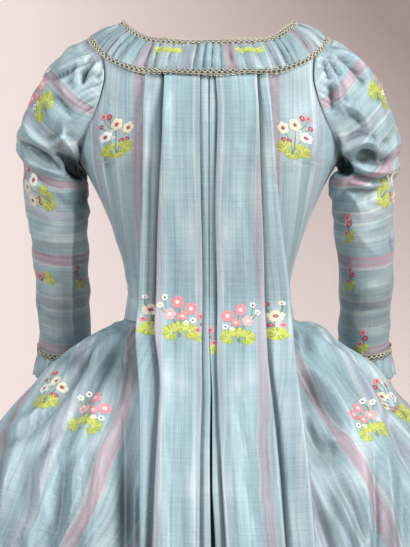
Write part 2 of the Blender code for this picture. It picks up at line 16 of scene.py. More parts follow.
import bpy
import numpy as np
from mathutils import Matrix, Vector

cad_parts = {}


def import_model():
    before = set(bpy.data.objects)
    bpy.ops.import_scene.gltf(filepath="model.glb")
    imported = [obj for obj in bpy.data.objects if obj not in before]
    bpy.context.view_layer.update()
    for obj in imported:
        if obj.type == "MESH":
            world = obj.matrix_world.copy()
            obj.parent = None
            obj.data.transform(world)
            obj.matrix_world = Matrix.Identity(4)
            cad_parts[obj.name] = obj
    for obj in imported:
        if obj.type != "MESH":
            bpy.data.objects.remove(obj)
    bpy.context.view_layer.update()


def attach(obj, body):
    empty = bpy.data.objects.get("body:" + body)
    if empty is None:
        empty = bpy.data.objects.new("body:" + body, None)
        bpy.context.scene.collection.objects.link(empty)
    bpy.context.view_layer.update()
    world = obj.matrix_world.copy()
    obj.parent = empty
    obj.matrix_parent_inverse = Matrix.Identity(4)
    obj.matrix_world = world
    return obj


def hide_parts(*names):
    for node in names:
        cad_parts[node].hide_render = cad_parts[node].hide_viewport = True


MM = 0.001
BODY = "root"
LEVEL = np.array([1.0, 1.0, 0.0])  # takes the upright part out of a direction
BEHIND = np.array([0.0, -1.0, 0.0])
UP = np.array([0.0, 0.0, 1.0])
CLOTH_MAP = "cloth"  # the UV map that holds each point's place on the flat cloth, in metres
SHADE_ATTRIBUTE = "hollow"  # the attribute that holds each point's painted shade, from 0 to 1, darkest deep in folds
CLOTH_THICKNESS = 0.45 * MM
SHADE_FROM = 0.2 * MM  # how much lower than its surroundings cloth lies where its painted shade starts
SHADE_OVER = 1.8 * MM  # how much lower still it lies where its painted shade is darkest

log = logging.getLogger("gown")

Colour = tuple[float, float, float]
Place = tuple[float, float, float]
Array = np.ndarray
Places = Array | float
Socket = bpy.types.NodeSocket
Row = TypeVar("Row")


class Side(Enum):
    """The back or the front of the gown."""

    BACK = "back"
    FRONT = "front"


class Hand(Enum):
    """The wearer's left or right, as the sign of X."""

    LEFT = -1
    RIGHT = 1

    @property
    def word(self) -> str:
        """The hand's name in lower case."""
        return self.name.lower()


class Grain(Enum):
    """Which way the stripes run over a piece: down it, or round it."""

    DOWN = 0
    ROUND = 1


# Curves and grids


def table_of(kind: type[Row], *values: tuple) -> tuple[Row, ...]:
    """Plain rows of values as a table of one kind."""
    return tuple(kind(*each) for each in values)


def column(table: Sequence[NamedTuple], name: str) -> Array:
    """One column of a table of millimetres, in metres."""
    return np.array([getattr(row, name) for row in table], float) * MM


def read(table: Sequence[NamedTuple], name: str, at: Array) -> Array:
    """One column of a table of millimetres, on a smooth curve over the table's first column."""
    return smooth(column(table, table[0]._fields[0]), column(table, name), at)


def pairs(table: Sequence[tuple[float, float]]) -> Array:
    """A table of pairs in millimetres, as two arrays in metres."""
    return np.array(table, float).T * MM


def smooth(knots: Array, values: Array, at: Array) -> Array:
    """A curve through the knots that never overshoots: cubic pieces with harmonic mean slopes.

    Args:
        knots: places in rising or falling order.
        values: one value for each knot, or a row of them for each place in at.
        at: where the curve is read.

    Returns:
        The curve's values, in the shape of at.
    """
    knots, values, at = (np.asarray(each, float) for each in (knots, values, at))
    if knots[0] > knots[-1]:
        knots, values = knots[::-1], values[..., ::-1]
    step = np.diff(knots)
    rise = np.diff(values, axis=-1) / step
    both = rise[..., :-1] * rise[..., 1:]
    total = np.where(both > 0, rise[..., :-1] + rise[..., 1:], 1)
    inner = np.where(both > 0, 2 * both / total, 0)
    slope = np.concatenate([rise[..., :1], inner, rise[..., -1:]], axis=-1)
    at = np.clip(at, knots[0], knots[-1])
    i = np.clip(np.searchsorted(knots, at, side="right") - 1, 0, len(step) - 1)
    s = (at - knots[i]) / step[i]

    def pick(table: Array, k: Array) -> Array:
        """The k-th entry of the table, or of each of its rows."""
        if table.ndim == 1:
            return table[k]
        return np.take_along_axis(table, k[..., None], axis=-1)[..., 0]

    bend = (pick(slope, i) * (1 - s) - pick(slope, i + 1) * s) * step[i] * s * (1 - s)
    start = pick(values, i) * (1 + 2 * s) * (1 - s) ** 2
    return start + pick(values, i + 1) * s * s * (3 - 2 * s) + bend


def ease(value: Array, start: float, end: float) -> Array:
    """A smooth step, from 0 at start to 1 at end."""
    s = np.clip((np.asarray(value, float) - start) / (end - start), 0, 1)
    return s * s * (3 - 2 * s)


def unit(vectors: Array) -> Array:
    """The vectors at length one."""
    return vectors / np.maximum(np.linalg.norm(vectors, axis=-1, keepdims=True), 1e-12)


def wander(across: Places, along: Places, size: float, seed: int) -> Array:
    """A soft uneven field: the mean of seven sine waves of about one size, each turned its own way.

    Args:
        across: first coordinate of the places, in metres.
        along: second coordinate of the places, in metres.
        size: the usual length of a wave, in metres.
        seed: picks the waves' directions, lengths and phases.

    Returns:
        Values of about -0.6 to 0.6.
    """
    rng = np.random.default_rng(seed)
    total = np.zeros(np.broadcast(across, along).shape)
    waves = 7
    for turn, length, phase in zip(rng.uniform(0, np.pi, waves), rng.uniform(0.7, 1.6, waves),
                                   rng.uniform(0, 2 * np.pi, waves)):
        reach = across * np.cos(turn) + along * np.sin(turn)
        total = total + np.sin(2 * np.pi * reach / (size * length) + phase)
    return total / waves * 1.6


def crumple(across: Places, along: Places, size: float, seed: int) -> Array:
    """Crisp ridges along the lines where a soft uneven field changes sign."""
    return 0.35 - np.sqrt(wander(across, along, size, seed) ** 2 + 0.0012)


def blurred(height: Array, closed: bool, reach: int = 3) -> Array:
    """The mean of each value of a grid and its neighbours within reach, both ways."""
    for axis in (0, 1):
        wide = [(reach, reach) if k == axis else (0, 0) for k in (0, 1)]
        ends = "wrap" if closed and axis == 1 else "edge"
        padded = np.cumsum(np.pad(height, wide, mode=ends), axis=axis)
        padded = np.pad(padded, [(1, 0) if k == axis else (0, 0) for k in (0, 1)])
        count = height.shape[axis]
        upper, lower = (np.take(padded, np.arange(count) + k, axis) for k in (2 * reach + 1, 0))
        height = (upper - lower) / (2 * reach + 1)
    return height


def softened(values: Array, reach: int) -> Array:
    """Each row of values as the mean of the rows within reach of it."""
    padded = np.pad(values, [(reach, reach), (0, 0)], mode="edge")
    total = np.cumsum(np.vstack([np.zeros((1, values.shape[1])), padded]), axis=0)
    return (total[2 * reach + 1:] - total[:-2 * reach - 1]) / (2 * reach + 1)


def running_length(points: Array, axis: int) -> Array:
    """Distance along the grid's lines from their first point."""
    steps = np.linalg.norm(np.diff(points, axis=axis), axis=-1)
    first = np.zeros_like(np.take(steps, [0], axis=axis))
    return np.concatenate([first, np.cumsum(steps, axis=axis)], axis=axis)


def uneven(rng: np.random.Generator, count: int, low: float, high: float) -> Array:
    """The ends of so many stretches, whose widths vary from low to high, from 0 to 1."""
    ends = np.cumsum(rng.uniform(low, high, count))
    return np.concatenate([[0], ends / ends[-1]])


def between(at: Array, knots: Array, values: Array) -> Array:
    """Values given midway between the knots, read at places."""
    return np.interp(at, (knots[1:] + knots[:-1]) / 2, values)


def corners(grid: Array) -> list[Array]:
    """The values of a grid at the four corners of its quads, in order round each quad."""
    return [grid[:-1, :-1], grid[1:, :-1], grid[1:, 1:], grid[:-1, 1:]]


def quads(shape: tuple[int, int], wraps: tuple[bool, bool] = (False, False)) -> Array:
    """The quads of a grid of points that are numbered along its rows.

    Args:
        shape: rows and columns.
        wraps: whether the last row joins the first one, and the last column the first one.

    Returns:
        Point numbers, count by 4, in order round each quad.
    """
    index = np.arange(shape[0] * shape[1]).reshape(shape)
    index = np.pad(index, [(0, int(wrap)) for wrap in wraps], mode="wrap")
    return np.stack(corners(index), axis=-1).reshape(-1, 4)


def linked(name: str, data: bpy.types.ID) -> bpy.types.Object:
    """A new object in the scene."""
    thing = bpy.data.objects.new(name, data)
    bpy.context.scene.collection.objects.link(thing)
    return thing


class Waves(NamedTuple):
    """Unevenness of the worn cloth: how far its two coordinates are stretched, the size and height
    of its waves in millimetres, its seed, and whether it is drawn into crisp ridges."""

    across: float
    along: float
    size: float
    height: float
    seed: int
    crisp: bool = False

    def over(self, across: Places, along: Places, hand: Hand) -> Array:
        """The height at each place, in metres, on one hand's piece."""
        wave = crumple if self.crisp else wander
        return wave(across * self.across, along * self.along, self.size * MM,
                    self.seed + hand.value) * self.height * MM


class Crease(NamedTuple):
    """A soft fold seen from behind or before, in millimetres: its two ends, how far its middle bows
    to its left, the half-width and the height of its ridge. A negative height is a trough."""

    x0: float
    z0: float
    x1: float
    z1: float
    bow: float
    width: float
    height: float


def crease_height(creases: Sequence[Crease], x: Array, z: Array) -> Array:
    """Height of all the creases at each place: each is a bell across its bowed line, with a
    shallow trough on one side, and dies away at both ends.

    Args:
        creases: the folds.
        x: first coordinate of the places, in metres.
        z: second coordinate of the places, in metres.

    Returns:
        Heights in metres.
    """
    total = np.zeros(x.shape)
    for fold in creases:
        start = np.array([fold.x0, fold.z0]) * MM
        run = np.array([fold.x1, fold.z1]) * MM - start
        length = np.linalg.norm(run)
        way = run / length
        t = ((x - start[0]) * way[0] + (z - start[1]) * way[1]) / length
        aside = (z - start[1]) * way[0] - (x - start[0]) * way[1]
        s = np.clip(t, 0, 1)
        off = (aside - fold.bow * MM * 4 * s * (1 - s)) / (fold.width * MM)
        past = (t - s) * length / (fold.width * MM)
        bell = np.exp(-np.abs(off) ** 1.25) - 0.4 * np.exp(-((off - 1.7) / 1.3) ** 2)
        ends = np.exp(-past ** 2) * (0.15 + 0.85 * np.sin(np.pi * s) ** 0.7)
        total += 1.35 * fold.height * MM * bell * ends
    return total


class Hollow(NamedTuple):
    """A hollow in a piece's back, in millimetres, with painted shade laid in it: its middle, half its
    width and height, how far forward it is pressed, and how dark its painted shade is, from 0 to 1."""

    x: float
    z: float
    half_width: float
    half_height: float
    depth: float
    dark: float = 1.0


@dataclass
class Cloth:
    """A piece of cloth as a grid of points, with each point's place on the flat cloth.

    Args:
        name: the piece's name.
        points: rows by columns by 3, on the middle of the cloth.
        across: distance over the flat cloth, across the warp.
        along: distance over the flat cloth, along the warp.
        closed: whether the last column joins the first.
        outward: 1 if the rows crossed with the columns point out of the gown, otherwise -1.
        stripes: distance at which the stripes are read, where it isn't the distance across.
        tilt: what is added to the distance along where the stripes are read.
        hollow: the painted shade of each point, from 0 to 1, darkest deep in folds and hollows.
    """

    name: str
    points: Array
    across: Array
    along: Array
    closed: bool = False
    outward: int = 1
    stripes: Optional[Array] = None
    tilt: Places = 0.0
    hollow: Places = 0.0

    @classmethod
    def laid(cls, name: str, points: Array, closed: bool = False) -> "Cloth":
        """A cloth whose flat places are measured over the grid itself; the distance along is half
        each column's own and half the mean of all."""
        along = running_length(points, 0)
        along = along * 0.5 + along.mean(axis=1, keepdims=True) * 0.5
        return cls(name, points, running_length(points, 1), along, closed)

    def normals(self) -> Array:
        """The outward unit normals of the grid."""
        if self.closed:
            around = np.roll(self.points, -1, axis=1) - np.roll(self.points, 1, axis=1)
        else:
            around = np.gradient(self.points, axis=1)
        return unit(np.cross(np.gradient(self.points, axis=0), around)) * self.outward

    def face_out(self, away: Array) -> "Cloth":
        """Sets the outward sign so that the normals point the way of these directions."""
        if np.sum(self.normals() * away) < 0:
            self.outward = -self.outward
        return self

    def raised(self, height: Array, shade: float = 1.0) -> "Cloth":
        """The cloth with each point moved out along its normal; what lies lower than its
        surroundings counts as a hollow and gets painted shade, as dark as the shade factor allows."""
        low = blurred(height, self.closed) - height
        deep = shade * np.clip((low - SHADE_FROM) / SHADE_OVER, 0, 1)
        points = self.points + self.normals() * height[..., None]
        return replace(self, points=points, hollow=np.maximum(self.hollow, deep))

    def pressed(self, hollows: Sequence[Hollow], behind: Array) -> "Cloth":
        """The cloth pressed forward into its hollows, each a bell both ways, where it lies behind
        the body, and darkened there with painted shade."""
        x, z = self.points[..., 0], self.points[..., 2]
        points, dark = self.points.copy(), self.hollow
        for hollow in hollows:
            aside = (x - hollow.x * MM) / (hollow.half_width * MM)
            above = (z - hollow.z * MM) / (hollow.half_height * MM)
            near = np.exp(-aside ** 2 - above ** 2) * behind
            points[..., 1] += hollow.depth * MM * near
            dark = np.maximum(dark, hollow.dark * near)
        return replace(self, points=points, hollow=dark)

    def area(self) -> float:
        """Area of the cloth, from the two triangles of each quad."""
        grid = np.pad(self.points, [(0, 0), (0, int(self.closed)), (0, 0)], mode="wrap")
        a, b, c, d = corners(grid)
        return float(sum(np.linalg.norm(np.cross(one, other), axis=-1).sum()
                         for one, other in ((b - a, c - a), (c - a, d - a)))) / 2

    def flat_size(self) -> tuple[float, float]:
        """Width and length of the flat rectangle that the piece is cut from."""
        wide = running_length(self.points, 1)[:, -1].max()
        if self.closed:
            wide += np.linalg.norm(self.points[:, 0] - self.points[:, -1], axis=-1).max()
        return float(wide), float(running_length(self.points, 0)[-1].max())

    def locate(self, x: float, z: float, side: Side) -> tuple[int, int]:
        """Row and column of the grid point that is seen at a place from behind or before.

        Args:
            x: the place, in millimetres.
            z: its height, in millimetres.
            side: from where it is seen.

        Returns:
            The row and the column.
        """
        away = np.hypot(self.points[..., 0] - x * MM, self.points[..., 2] - z * MM)
        facing = self.normals()[..., 1] * (-1 if side is Side.BACK else 1)
        away = np.where(facing > 0, away, np.inf)
        nearest = away < away.min() + 3 * MM
        depth = self.points[..., 1] * (1 if side is Side.BACK else -1)
        row, place = np.unravel_index(np.argmin(np.where(nearest, depth, np.inf)), away.shape)
        return int(row), int(place)

    def spread(self, at: tuple[int, int], offsets: Array, lift: Array) -> Array:
        """Places on the cloth at offsets over its flat from one of its points, blended between the
        four nearest points of the grid.

        Args:
            at: row and column of the middle.
            offsets: count by 2, distances across and along, in metres.
            lift: height over the cloth of each place, in metres.

        Returns:
            Points, count by 3.
        """
        row, place = at
        rows, columns = self.points.shape[:2]
        across, index = self.across[row], np.arange(columns)
        if self.closed:
            turn = 2 * across[-1] - across[-2] - across[0]
            across = np.concatenate([across - turn, across, across + turn])
            index = np.arange(-columns, 2 * columns)
        j = np.interp(self.across[row, place] + offsets[:, 0], across, index)
        i = np.interp(self.along[row, place] + offsets[:, 1], self.along[:, place], np.arange(rows))
        i0, j0 = np.clip(np.floor(i).astype(int), 0, rows - 2), np.floor(j).astype(int)
        if not self.closed:
            j0 = np.clip(j0, 0, columns - 2)
        s, t = (i - i0)[:, None], (j - j0)[:, None]
        j0, j1 = j0 % columns, (j0 + 1) % columns

        def blend(grid: Array) -> Array:
            """The grid's values between its four nearest points."""
            upper = grid[i0, j0] * (1 - t) + grid[i0, j1] * t
            return upper * (1 - s) + (grid[i0 + 1, j0] * (1 - t) + grid[i0 + 1, j1] * t) * s

        return blend(self.points) + unit(blend(self.normals())) * lift[:, None]

    def build(self, material: bpy.types.Material, thickness: float) -> bpy.types.Object:
        """Makes the piece, with its flat places in a UV map and its painted shade in an attribute.

        Args:
            material: its finish.
            thickness: of the cloth, in metres.

        Returns:
            The object, riding on the gown.
        """
        across = self.across if self.stripes is None else self.stripes
        along = self.along + self.tilt
        if self.closed:
            across = np.hstack([across, 2 * across[:, -1:] - across[:, -2:-1]])
            along = np.hstack([along, along[:, :1]])
        faces = quads(self.points.shape[:2], (False, self.closed))
        flat = np.stack([np.stack(corners(each), axis=-1) for each in (across, along)], axis=-1)
        flat = flat.reshape(-1, 4, 2)
        if self.outward < 0:
            faces, flat = faces[:, ::-1], flat[:, ::-1]
        mesh = bpy.data.meshes.new(self.name)
        mesh.from_pydata(self.points.reshape(-1, 3), [], faces.tolist())
        layer = mesh.uv_layers.new(name=CLOTH_MAP)
        layer.data.foreach_set("uv", flat.reshape(-1).astype(np.float32))
        hollow = np.broadcast_to(self.hollow, self.across.shape).reshape(-1)
        mesh.attributes.new(SHADE_ATTRIBUTE, "FLOAT", "POINT").data.foreach_set(
            "value", hollow.astype(np.float32))
        mesh.materials.append(material)
        mesh.shade_smooth()
        piece = linked(self.name, mesh)
        thicken = piece.modifiers.new("cloth thickness", "SOLIDIFY")
        thicken.thickness, thicken.offset, thicken.use_even_offset = thickness, 0, False
        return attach(piece, BODY)


# The worn form


class TorsoRow(NamedTuple):
    """A level section of the bodice."""

    z: float
    half_width: float
    back_depth: float
    front_depth: float


class SkirtRow(NamedTuple):
    """A level section of the skirt: its reach in seven directions."""

    z: float
    back: float
    back_hip: float
    hip: float
    side: float
    fore_side: float
    fore: float
    front: float


@dataclass(frozen=True)
class Figure:
    """The hollow form of the worn gown, which every piece is laid on."""

    waist: float = -362 * MM
    waist_dip_back: float = 13 * MM
    waist_dip_front: float = 9 * MM
    shoulder_slope: float = 0.31
    shoulder_neck: float = 102 * MM
    squareness: float = 2.5
    arm_drift: float = 7 * MM
    skirt_drift: float = 4 * MM
    torso: tuple[TorsoRow, ...] = table_of(
        TorsoRow, (9, 152, 2, 2), (4, 153, 20, 17), (0, 154, 32, 27), (-15, 158, 55, 44),
        (-30, 162, 69, 56),
        (-56, 167, 84, 76), (-90, 170, 94, 96), (-120, 170, 99, 109), (-156, 165, 101, 117),
        (-185, 150, 100, 118), (-200, 142, 99, 116), (-220, 133, 97, 112), (-255, 119, 93, 104),
        (-298, 106, 88, 95), (-322, 102, 86, 91), (-362, 107, 87, 90),
    )
    directions: tuple[float, ...] = (0, 40, 70, 90, 120, 150, 180)
    skirt: tuple[SkirtRow, ...] = table_of(
        SkirtRow, (-381, 101, 129, 152, 128, 114, 102, 97), (-400, 114, 152, 184, 142, 121, 108, 102),
        (-420, 128, 172, 210, 156, 128, 114, 108), (-445, 144, 195, 236, 168, 132, 119, 114),
        (-489, 172, 232, 276, 208, 162, 141, 130), (-540, 198, 266, 312, 264, 216, 180, 158),
        (-620, 228, 302, 348, 322, 282, 232, 192), (-740, 262, 336, 380, 362, 328, 270, 222),
        (-900, 296, 366, 405, 392, 360, 303, 250), (-1120, 332, 398, 432, 422, 394, 340, 282),
        (-1372, 368, 430, 460, 452, 426, 375, 312),
    )
    armhole: tuple[tuple[float, float], ...] = (
        (-8.5, 151), (-20, 144), (-34, 132.5), (-58, 130.5), (-80, 134.5),
        (-100, 141), (-120, 149.5), (-135, 157), (-148, 162), (-156, 165),
    )

    def lowered(self, x: Array, z: Array) -> Array:
        """How far the sloping shoulder lies below a level section."""
        return self.shoulder_slope * (np.abs(x) - self.shoulder_neck) * ease(z, -60 * MM, 5 * MM)

    def depth(self, x: Array, z: Array, side: Side) -> Array:
        """Distance of the bodice from the shoulder line: a superellipse of the level's half-width
        and depth."""
        level = z + self.lowered(x, z)
        half_width = read(self.torso, "half_width", level)
        within = np.clip(1 - np.abs(x / half_width) ** self.squareness, 0, 1)
        return read(self.torso, side.value + "_depth", level) * within ** (1 / self.squareness)

    def radius(self, angle: Array, z: Array) -> Array:
        """Distance of the bodice from its upright axis, at an angle from the centre back."""
        back, front = (read(self.torso, side.value + "_depth", z) for side in Side)
        reach = np.where(np.cos(angle) > 0, back, front)
        wide = np.abs(np.sin(angle)) / read(self.torso, "half_width", z)
        deep = np.abs(np.cos(angle)) / reach
        return (wide ** self.squareness + deep ** self.squareness) ** (-1 / self.squareness)

    def skirt_radius(self, angle: Array, z: Array) -> Array:
        """Distance of the skirt from the upright axis: smooth in height, then in direction."""
        angle, z = np.broadcast_arrays(np.abs(angle), z)
        turns = np.radians(self.directions)
        at_waist = self.radius(turns, self.waist)
        heights = np.concatenate([[self.waist], column(self.skirt, "z")])
        reaches = []
        for number, name in enumerate(SkirtRow._fields[1:]):
            values = np.concatenate([[at_waist[number]], column(self.skirt, name)])
            reaches.append(smooth(heights, values, z))
        return smooth(turns, np.stack(reaches, axis=-1), angle)

    def waist_height(self, angle: Array) -> Array:
        """The waist seam, which dips at the centre back and the centre front."""
        dip = np.where(np.cos(angle) > 0, self.waist_dip_back, self.waist_dip_front)
        return self.waist - dip * np.cos(angle) ** 2

    def armhole_angle(self, z: Array, side: Side) -> Array:
        """Angle of the armhole's edge at one height, or of the side seam below it."""
        half_width = smooth(*pairs(self.armhole), z)
        angle = np.arctan2(half_width, self.depth(half_width, z, side))
        return np.where(z > self.armhole[-1][0] * MM, angle, np.pi / 2)

    def drifted(self, points: Array) -> Array:
        """The points of a skirt piece, hung a little to the wearer's right."""
        moved = points.copy()
        moved[..., 0] += self.skirt_drift * ease(points[..., 2], self.waist, -460 * MM)
        return moved


def around_axis(angle: Array, z: Array, radius: Array) -> Array:
    """Points at an angle from the centre back, towards +X for positive angles."""
    angle, z, radius = np.broadcast_arrays(angle, z, radius)
    return np.stack([radius * np.sin(angle), -radius * np.cos(angle), z], axis=-1)


def handed(points: Array, hand: Hand) -> Array:
    """Points made for the wearer's right, on either side."""
    return points * np.array([hand.value, 1, 1])


# Bodice


@dataclass(frozen=True)
class Bodice:
    """The fitted bodice: a back and a front panel on each side."""

    figure: Figure
    rows: int = 120
    columns: int = 75
    gap: float = 0.4 * MM
    lap: float = 7 * MM
    back_neck: tuple[tuple[float, float], ...] = (
        (0, -56.5), (30, -57), (58, -57), (82, -54), (104, -47), (121, -39.5), (134, -30),
    )
    front_neck: tuple[tuple[float, float], ...] = (
        (0, -150), (60, -146), (80, -136), (95, -118), (108, -90), (120, -62), (132, -36),
    )
    meets_band: float = -34 * MM
    wide: Waves = Waves(1.0, 0.5, 45, 0.8, 3)
    fine: Waves = Waves(1.0, 0.6, 70, 1.1, 6, True)
    back_creases: tuple[Crease, ...] = table_of(
        Crease, (134, -118, 112, -185, -4, 7, 1.5), (141, -140, 122, -215, -5, 6, -1.2),
        (128, -98, 104, -146, -3, 8, 1.2), (118, -235, 96, -300, 3, 8, 0.9),
        (108, -300, 84, -330, 2, 5, 0.8), (106, -322, 80, -345, 2, 4, -0.8),
        (104, -344, 78, -358, 1, 4, 0.8), (92, -80, 88, -250, 2, 10, 0.8),
    )
    front_creases: tuple[Crease, ...] = table_of(
        Crease, (134, -112, 112, -172, -4, 7, 1.6), (140, -138, 118, -208, -5, 6, -1.4),
        (120, -232, 92, -300, 3, 8, 1.0), (104, -318, 72, -345, 2, 5, 0.9),
        (70, -170, 84, -262, 4, 9, -0.8),
    )

    def panel(self, side: Side, hand: Hand) -> Cloth:
        """One panel: polar sections from the centre to the armhole's edge or the side seam, from
        the neck edge down to the waist seam.

        Args:
            side: back or front.
            hand: left or right.

        Returns:
            The cloth with its creases.
        """
        figure = self.figure
        across = np.linspace(0, 1, self.columns)
        down = np.linspace(0, 1, self.rows)[:, None]
        neck_x, neck_z = pairs(self.back_neck if side is Side.BACK else self.front_neck)
        edge = smooth(*pairs(figure.armhole), self.meets_band)
        dropped = self.gap if side is Side.BACK else 0
        top = smooth(neck_x, neck_z, edge * across) - dropped - self.gap
        top = top + self.lap * (side is Side.BACK) * ease(edge * across, 120 * MM, 80 * MM)
        top_angle = np.arctan2(edge * across, figure.depth(edge * across, top, side))
        side_z = top[-1] + (figure.waist - top[-1]) * down
        turn = across * figure.armhole_angle(side_z, side)
        turn = turn + (top_angle - turn[:1]) * (1 - ease(down, 0, 0.4))
        turn = turn * (1 - 1.2 * self.gap / (110 * MM))
        angle = turn if side is Side.BACK else np.pi - turn
        bottom = figure.waist_height(angle[-1]) - self.gap
        z = top + (bottom - top) * down
        points = around_axis(angle, z, figure.radius(angle, z + figure.lowered(edge * across, z)))
        points[:, 0, 0] = 0
        cloth = Cloth.laid(f"{side.value}_{hand.word}_silk", handed(points, hand))
        cloth = cloth.face_out(cloth.points * LEVEL)
        creases = self.back_creases if side is Side.BACK else self.front_creases
        x, z = np.abs(cloth.points[..., 0]), cloth.points[..., 2]
        rough = sum(wave.over(x * hand.value, z, hand) for wave in (self.wide, self.fine))
        still = ease(across, 0.0, 0.06) * ease(1 - across, 0.0, 0.03)
        # Painted shade in the creases' troughs; on the back panels, painted shade over the upper part,
        # barely pressed in.
        cloth = cloth.raised((crease_height(creases, x, z) + rough) * still)
        return cloth.pressed(BACK_PAINTED_SHADE[hand], np.full(x.shape, float(side is Side.BACK)))


# Skirt


class FoldRow(NamedTuple):
    """A skirt fold: its place along the cloth at waist and hem, from 0 at the back edge to 1 at the
    front, its half-width as a share of the cloth, and its height at the hem in millimetres."""

    at_waist: float
    at_hem: float
    half_width: float
    height: float


@dataclass(frozen=True)
class Skirt:
    """The side skirts, pleated into the waist seam over the hips and open down the front."""

    figure: Figure
    rows: int = 140
    columns: int = 190
    gap: float = 0.5 * MM
    hem: float = -1372 * MM
    heap: tuple[float, ...] = (0.0, 0.28, 0.72, 1.0)
    heap_angle: tuple[float, ...] = (30, 74, 112, 174)
    back_edge: tuple[tuple[float, float], ...] = ((-362, 46), (-646, 46), (-1372, 124))
    front_edge: tuple[tuple[float, float], ...] = ((-362, 9), (-500, 30), (-900, 92), (-1372, 165))
    folds: tuple[FoldRow, ...] = table_of(
        FoldRow, (0.24, 0.225, 0.050, 17), (0.33, 0.30, 0.045, 25), (0.40, 0.36, 0.045, 29),
        (0.46, 0.40, 0.040, 26), (0.52, 0.48, 0.045, 32), (0.58, 0.57, 0.040, 27),
        (0.64, 0.65, 0.045, 31), (0.71, 0.74, 0.045, 25), (0.79, 0.83, 0.050, 22),
        (0.90, 0.92, 0.045, 16),
    )
    gathers: int = 34
    gather_height: float = 5.0 * MM
    even_from: float = -700 * MM  # below this level the heap at the hip has evened out
    full_from: float = -900 * MM  # below this level the folds have their whole height
    creases: dict[Hand, tuple[Crease, ...]] = field(default_factory=dict)
    lean: dict[Hand, tuple[tuple[float, float], ...]] = field(default_factory=lambda: {
        Hand.LEFT: ((-362, 40), (-422, 55), (-464, 66), (-525, 88), (-588, 108), (-646, 139),
                    (-1372, 330)),
        Hand.RIGHT: ((-362, 30), (-412, 59), (-475, 97), (-562, 155), (-646, 184), (-1372, 380)),
    })
    stretch: float = 0.78
    wide: Waves = Waves(1.1, 1.0, 180, 3.0, 31)
    fine: Waves = Waves(1.1, 0.22, 62, 3.4, 41, True)

    def side(self, hand: Hand) -> Cloth:
        """One side skirt: the cloth is heaped at the hip along the waist and even at the hem; broad
        folds swell downwards, and small pleats at the waist seam die away below it.

        Args:
            hand: left or right.

        Returns:
            The cloth.
        """
        figure = self.figure
        place = np.linspace(0, 1, self.columns) ** 1.5
        share = np.linspace(0, 1, self.rows)[:, None]
        levels = figure.waist + (self.hem - figure.waist) * share ** 1.35
        falling = ease(levels, figure.waist, self.even_from)
        held = np.minimum(levels, figure.waist)
        back_x = smooth(*pairs(self.back_edge), levels)
        front_x = smooth(*pairs(self.front_edge), levels)
        back_turn = np.arcsin(back_x / figure.skirt_radius(np.radians(25), held))
        front_turn = np.pi - np.arcsin(front_x / figure.skirt_radius(np.radians(165), held))
        even = back_turn + (front_turn - back_turn) * place
        heaped = smooth(self.heap, np.radians(self.heap_angle), place)
        angle = heaped + (even - heaped) * falling
        angle = angle + (back_turn - angle[:, :1]) * (1 - ease(place, 0, 0.2))
        top = figure.waist_height(angle[:1]) + self.gap
        z = levels + (top - figure.waist) * (1 - share) ** 6
        radius = figure.skirt_radius(angle, np.minimum(z, figure.waist))
        radius = radius - 0.9 * MM * (1 - ease(share, 0, 0.004))
        grown = ease(z, figure.waist, self.full_from)
        risen = ease(z, figure.waist, -378 * MM)
        bend = wander(hand.value * 0.3, levels, 500 * MM, 5) * 0.008
        for fold in self.folds:
            middle = fold.at_waist + (fold.at_hem - fold.at_waist) * falling + bend
            off = np.clip((place - middle) / fold.half_width, -1, 1)
            height = (2 + (fold.height - 2) * grown) * MM
            radius = radius + height * np.cos(off * np.pi / 2) ** 2 * risen
        cloth = Cloth.laid(f"skirt_{hand.word}_silk", handed(around_axis(angle, z, radius), hand))
        cloth = replace(cloth, points=figure.drifted(cloth.points))
        cloth = cloth.face_out(cloth.points * LEVEL)
        behind = ease(-cloth.points[..., 1], 0, 40 * MM)
        ridges = crease_height(self.creases[hand], cloth.points[..., 0], cloth.points[..., 2])
        stripes = (cloth.across - smooth(*pairs(self.lean[hand]), z)) * self.stretch
        # Painted shade in the folds' troughs, and in the hollows beside the pleats and between the folds.
        cloth = cloth.raised(self.relief(place, z, hand) + ridges * behind, 0.4)
        cloth = cloth.pressed(SKIRT_HOLLOWS_AND_SHADE[hand], behind)
        return replace(cloth, stripes=stripes)

    def relief(self, place: Array, z: Array, hand: Hand) -> Array:
        """Height of the small waist pleats and of the cloth's own unevenness."""
        rng = np.random.default_rng(20 + hand.value)
        edges = uneven(rng, self.gathers, 0.6, 1.4)
        phase = np.interp(place, edges, np.arange(len(edges)))
        strength = between(place, edges, rng.uniform(0.4, 1.0, self.gathers))
        reach = between(place, edges, rng.uniform(60, 190, self.gathers))
        below = np.clip((self.figure.waist - z) / (reach * MM), 0, 1)
        gathers = (0.5 - 0.5 * np.cos(2 * np.pi * phase)) ** 0.7 - 0.4
        starting = ease(z, self.figure.waist, -372 * MM)
        small = self.gather_height * gathers * strength * (1 - below) ** 1.4 * starting
        within = ease(place, 0.02, 0.12) * ease(1 - place, 0.0, 0.03)
        rough = self.wide.over(place, z, hand) + self.fine.over(place, z, hand)
        return (small + rough * ease(z, -380 * MM, -470 * MM)) * within


# Pleated back


class PleatRow(NamedTuple):
    """The pleats at one height: standing off the form, pitch of the plies, and the distance from
    the centre back to each fold, on the wearer's left and right."""

    z: float
    standoff: float
    pitch: float
    strip_l: float
    inner_l: float
    outer_l: float
    under_l: float
    strip_r: float
    inner_r: float
    outer_r: float
    under_r: float


class Run(NamedTuple):
    """A flat stretch of pleated cloth: its ply, counted from the body, the folds it runs between,
    and how many points it has."""

    ply: float
    start: str
    stop: str
    count: int


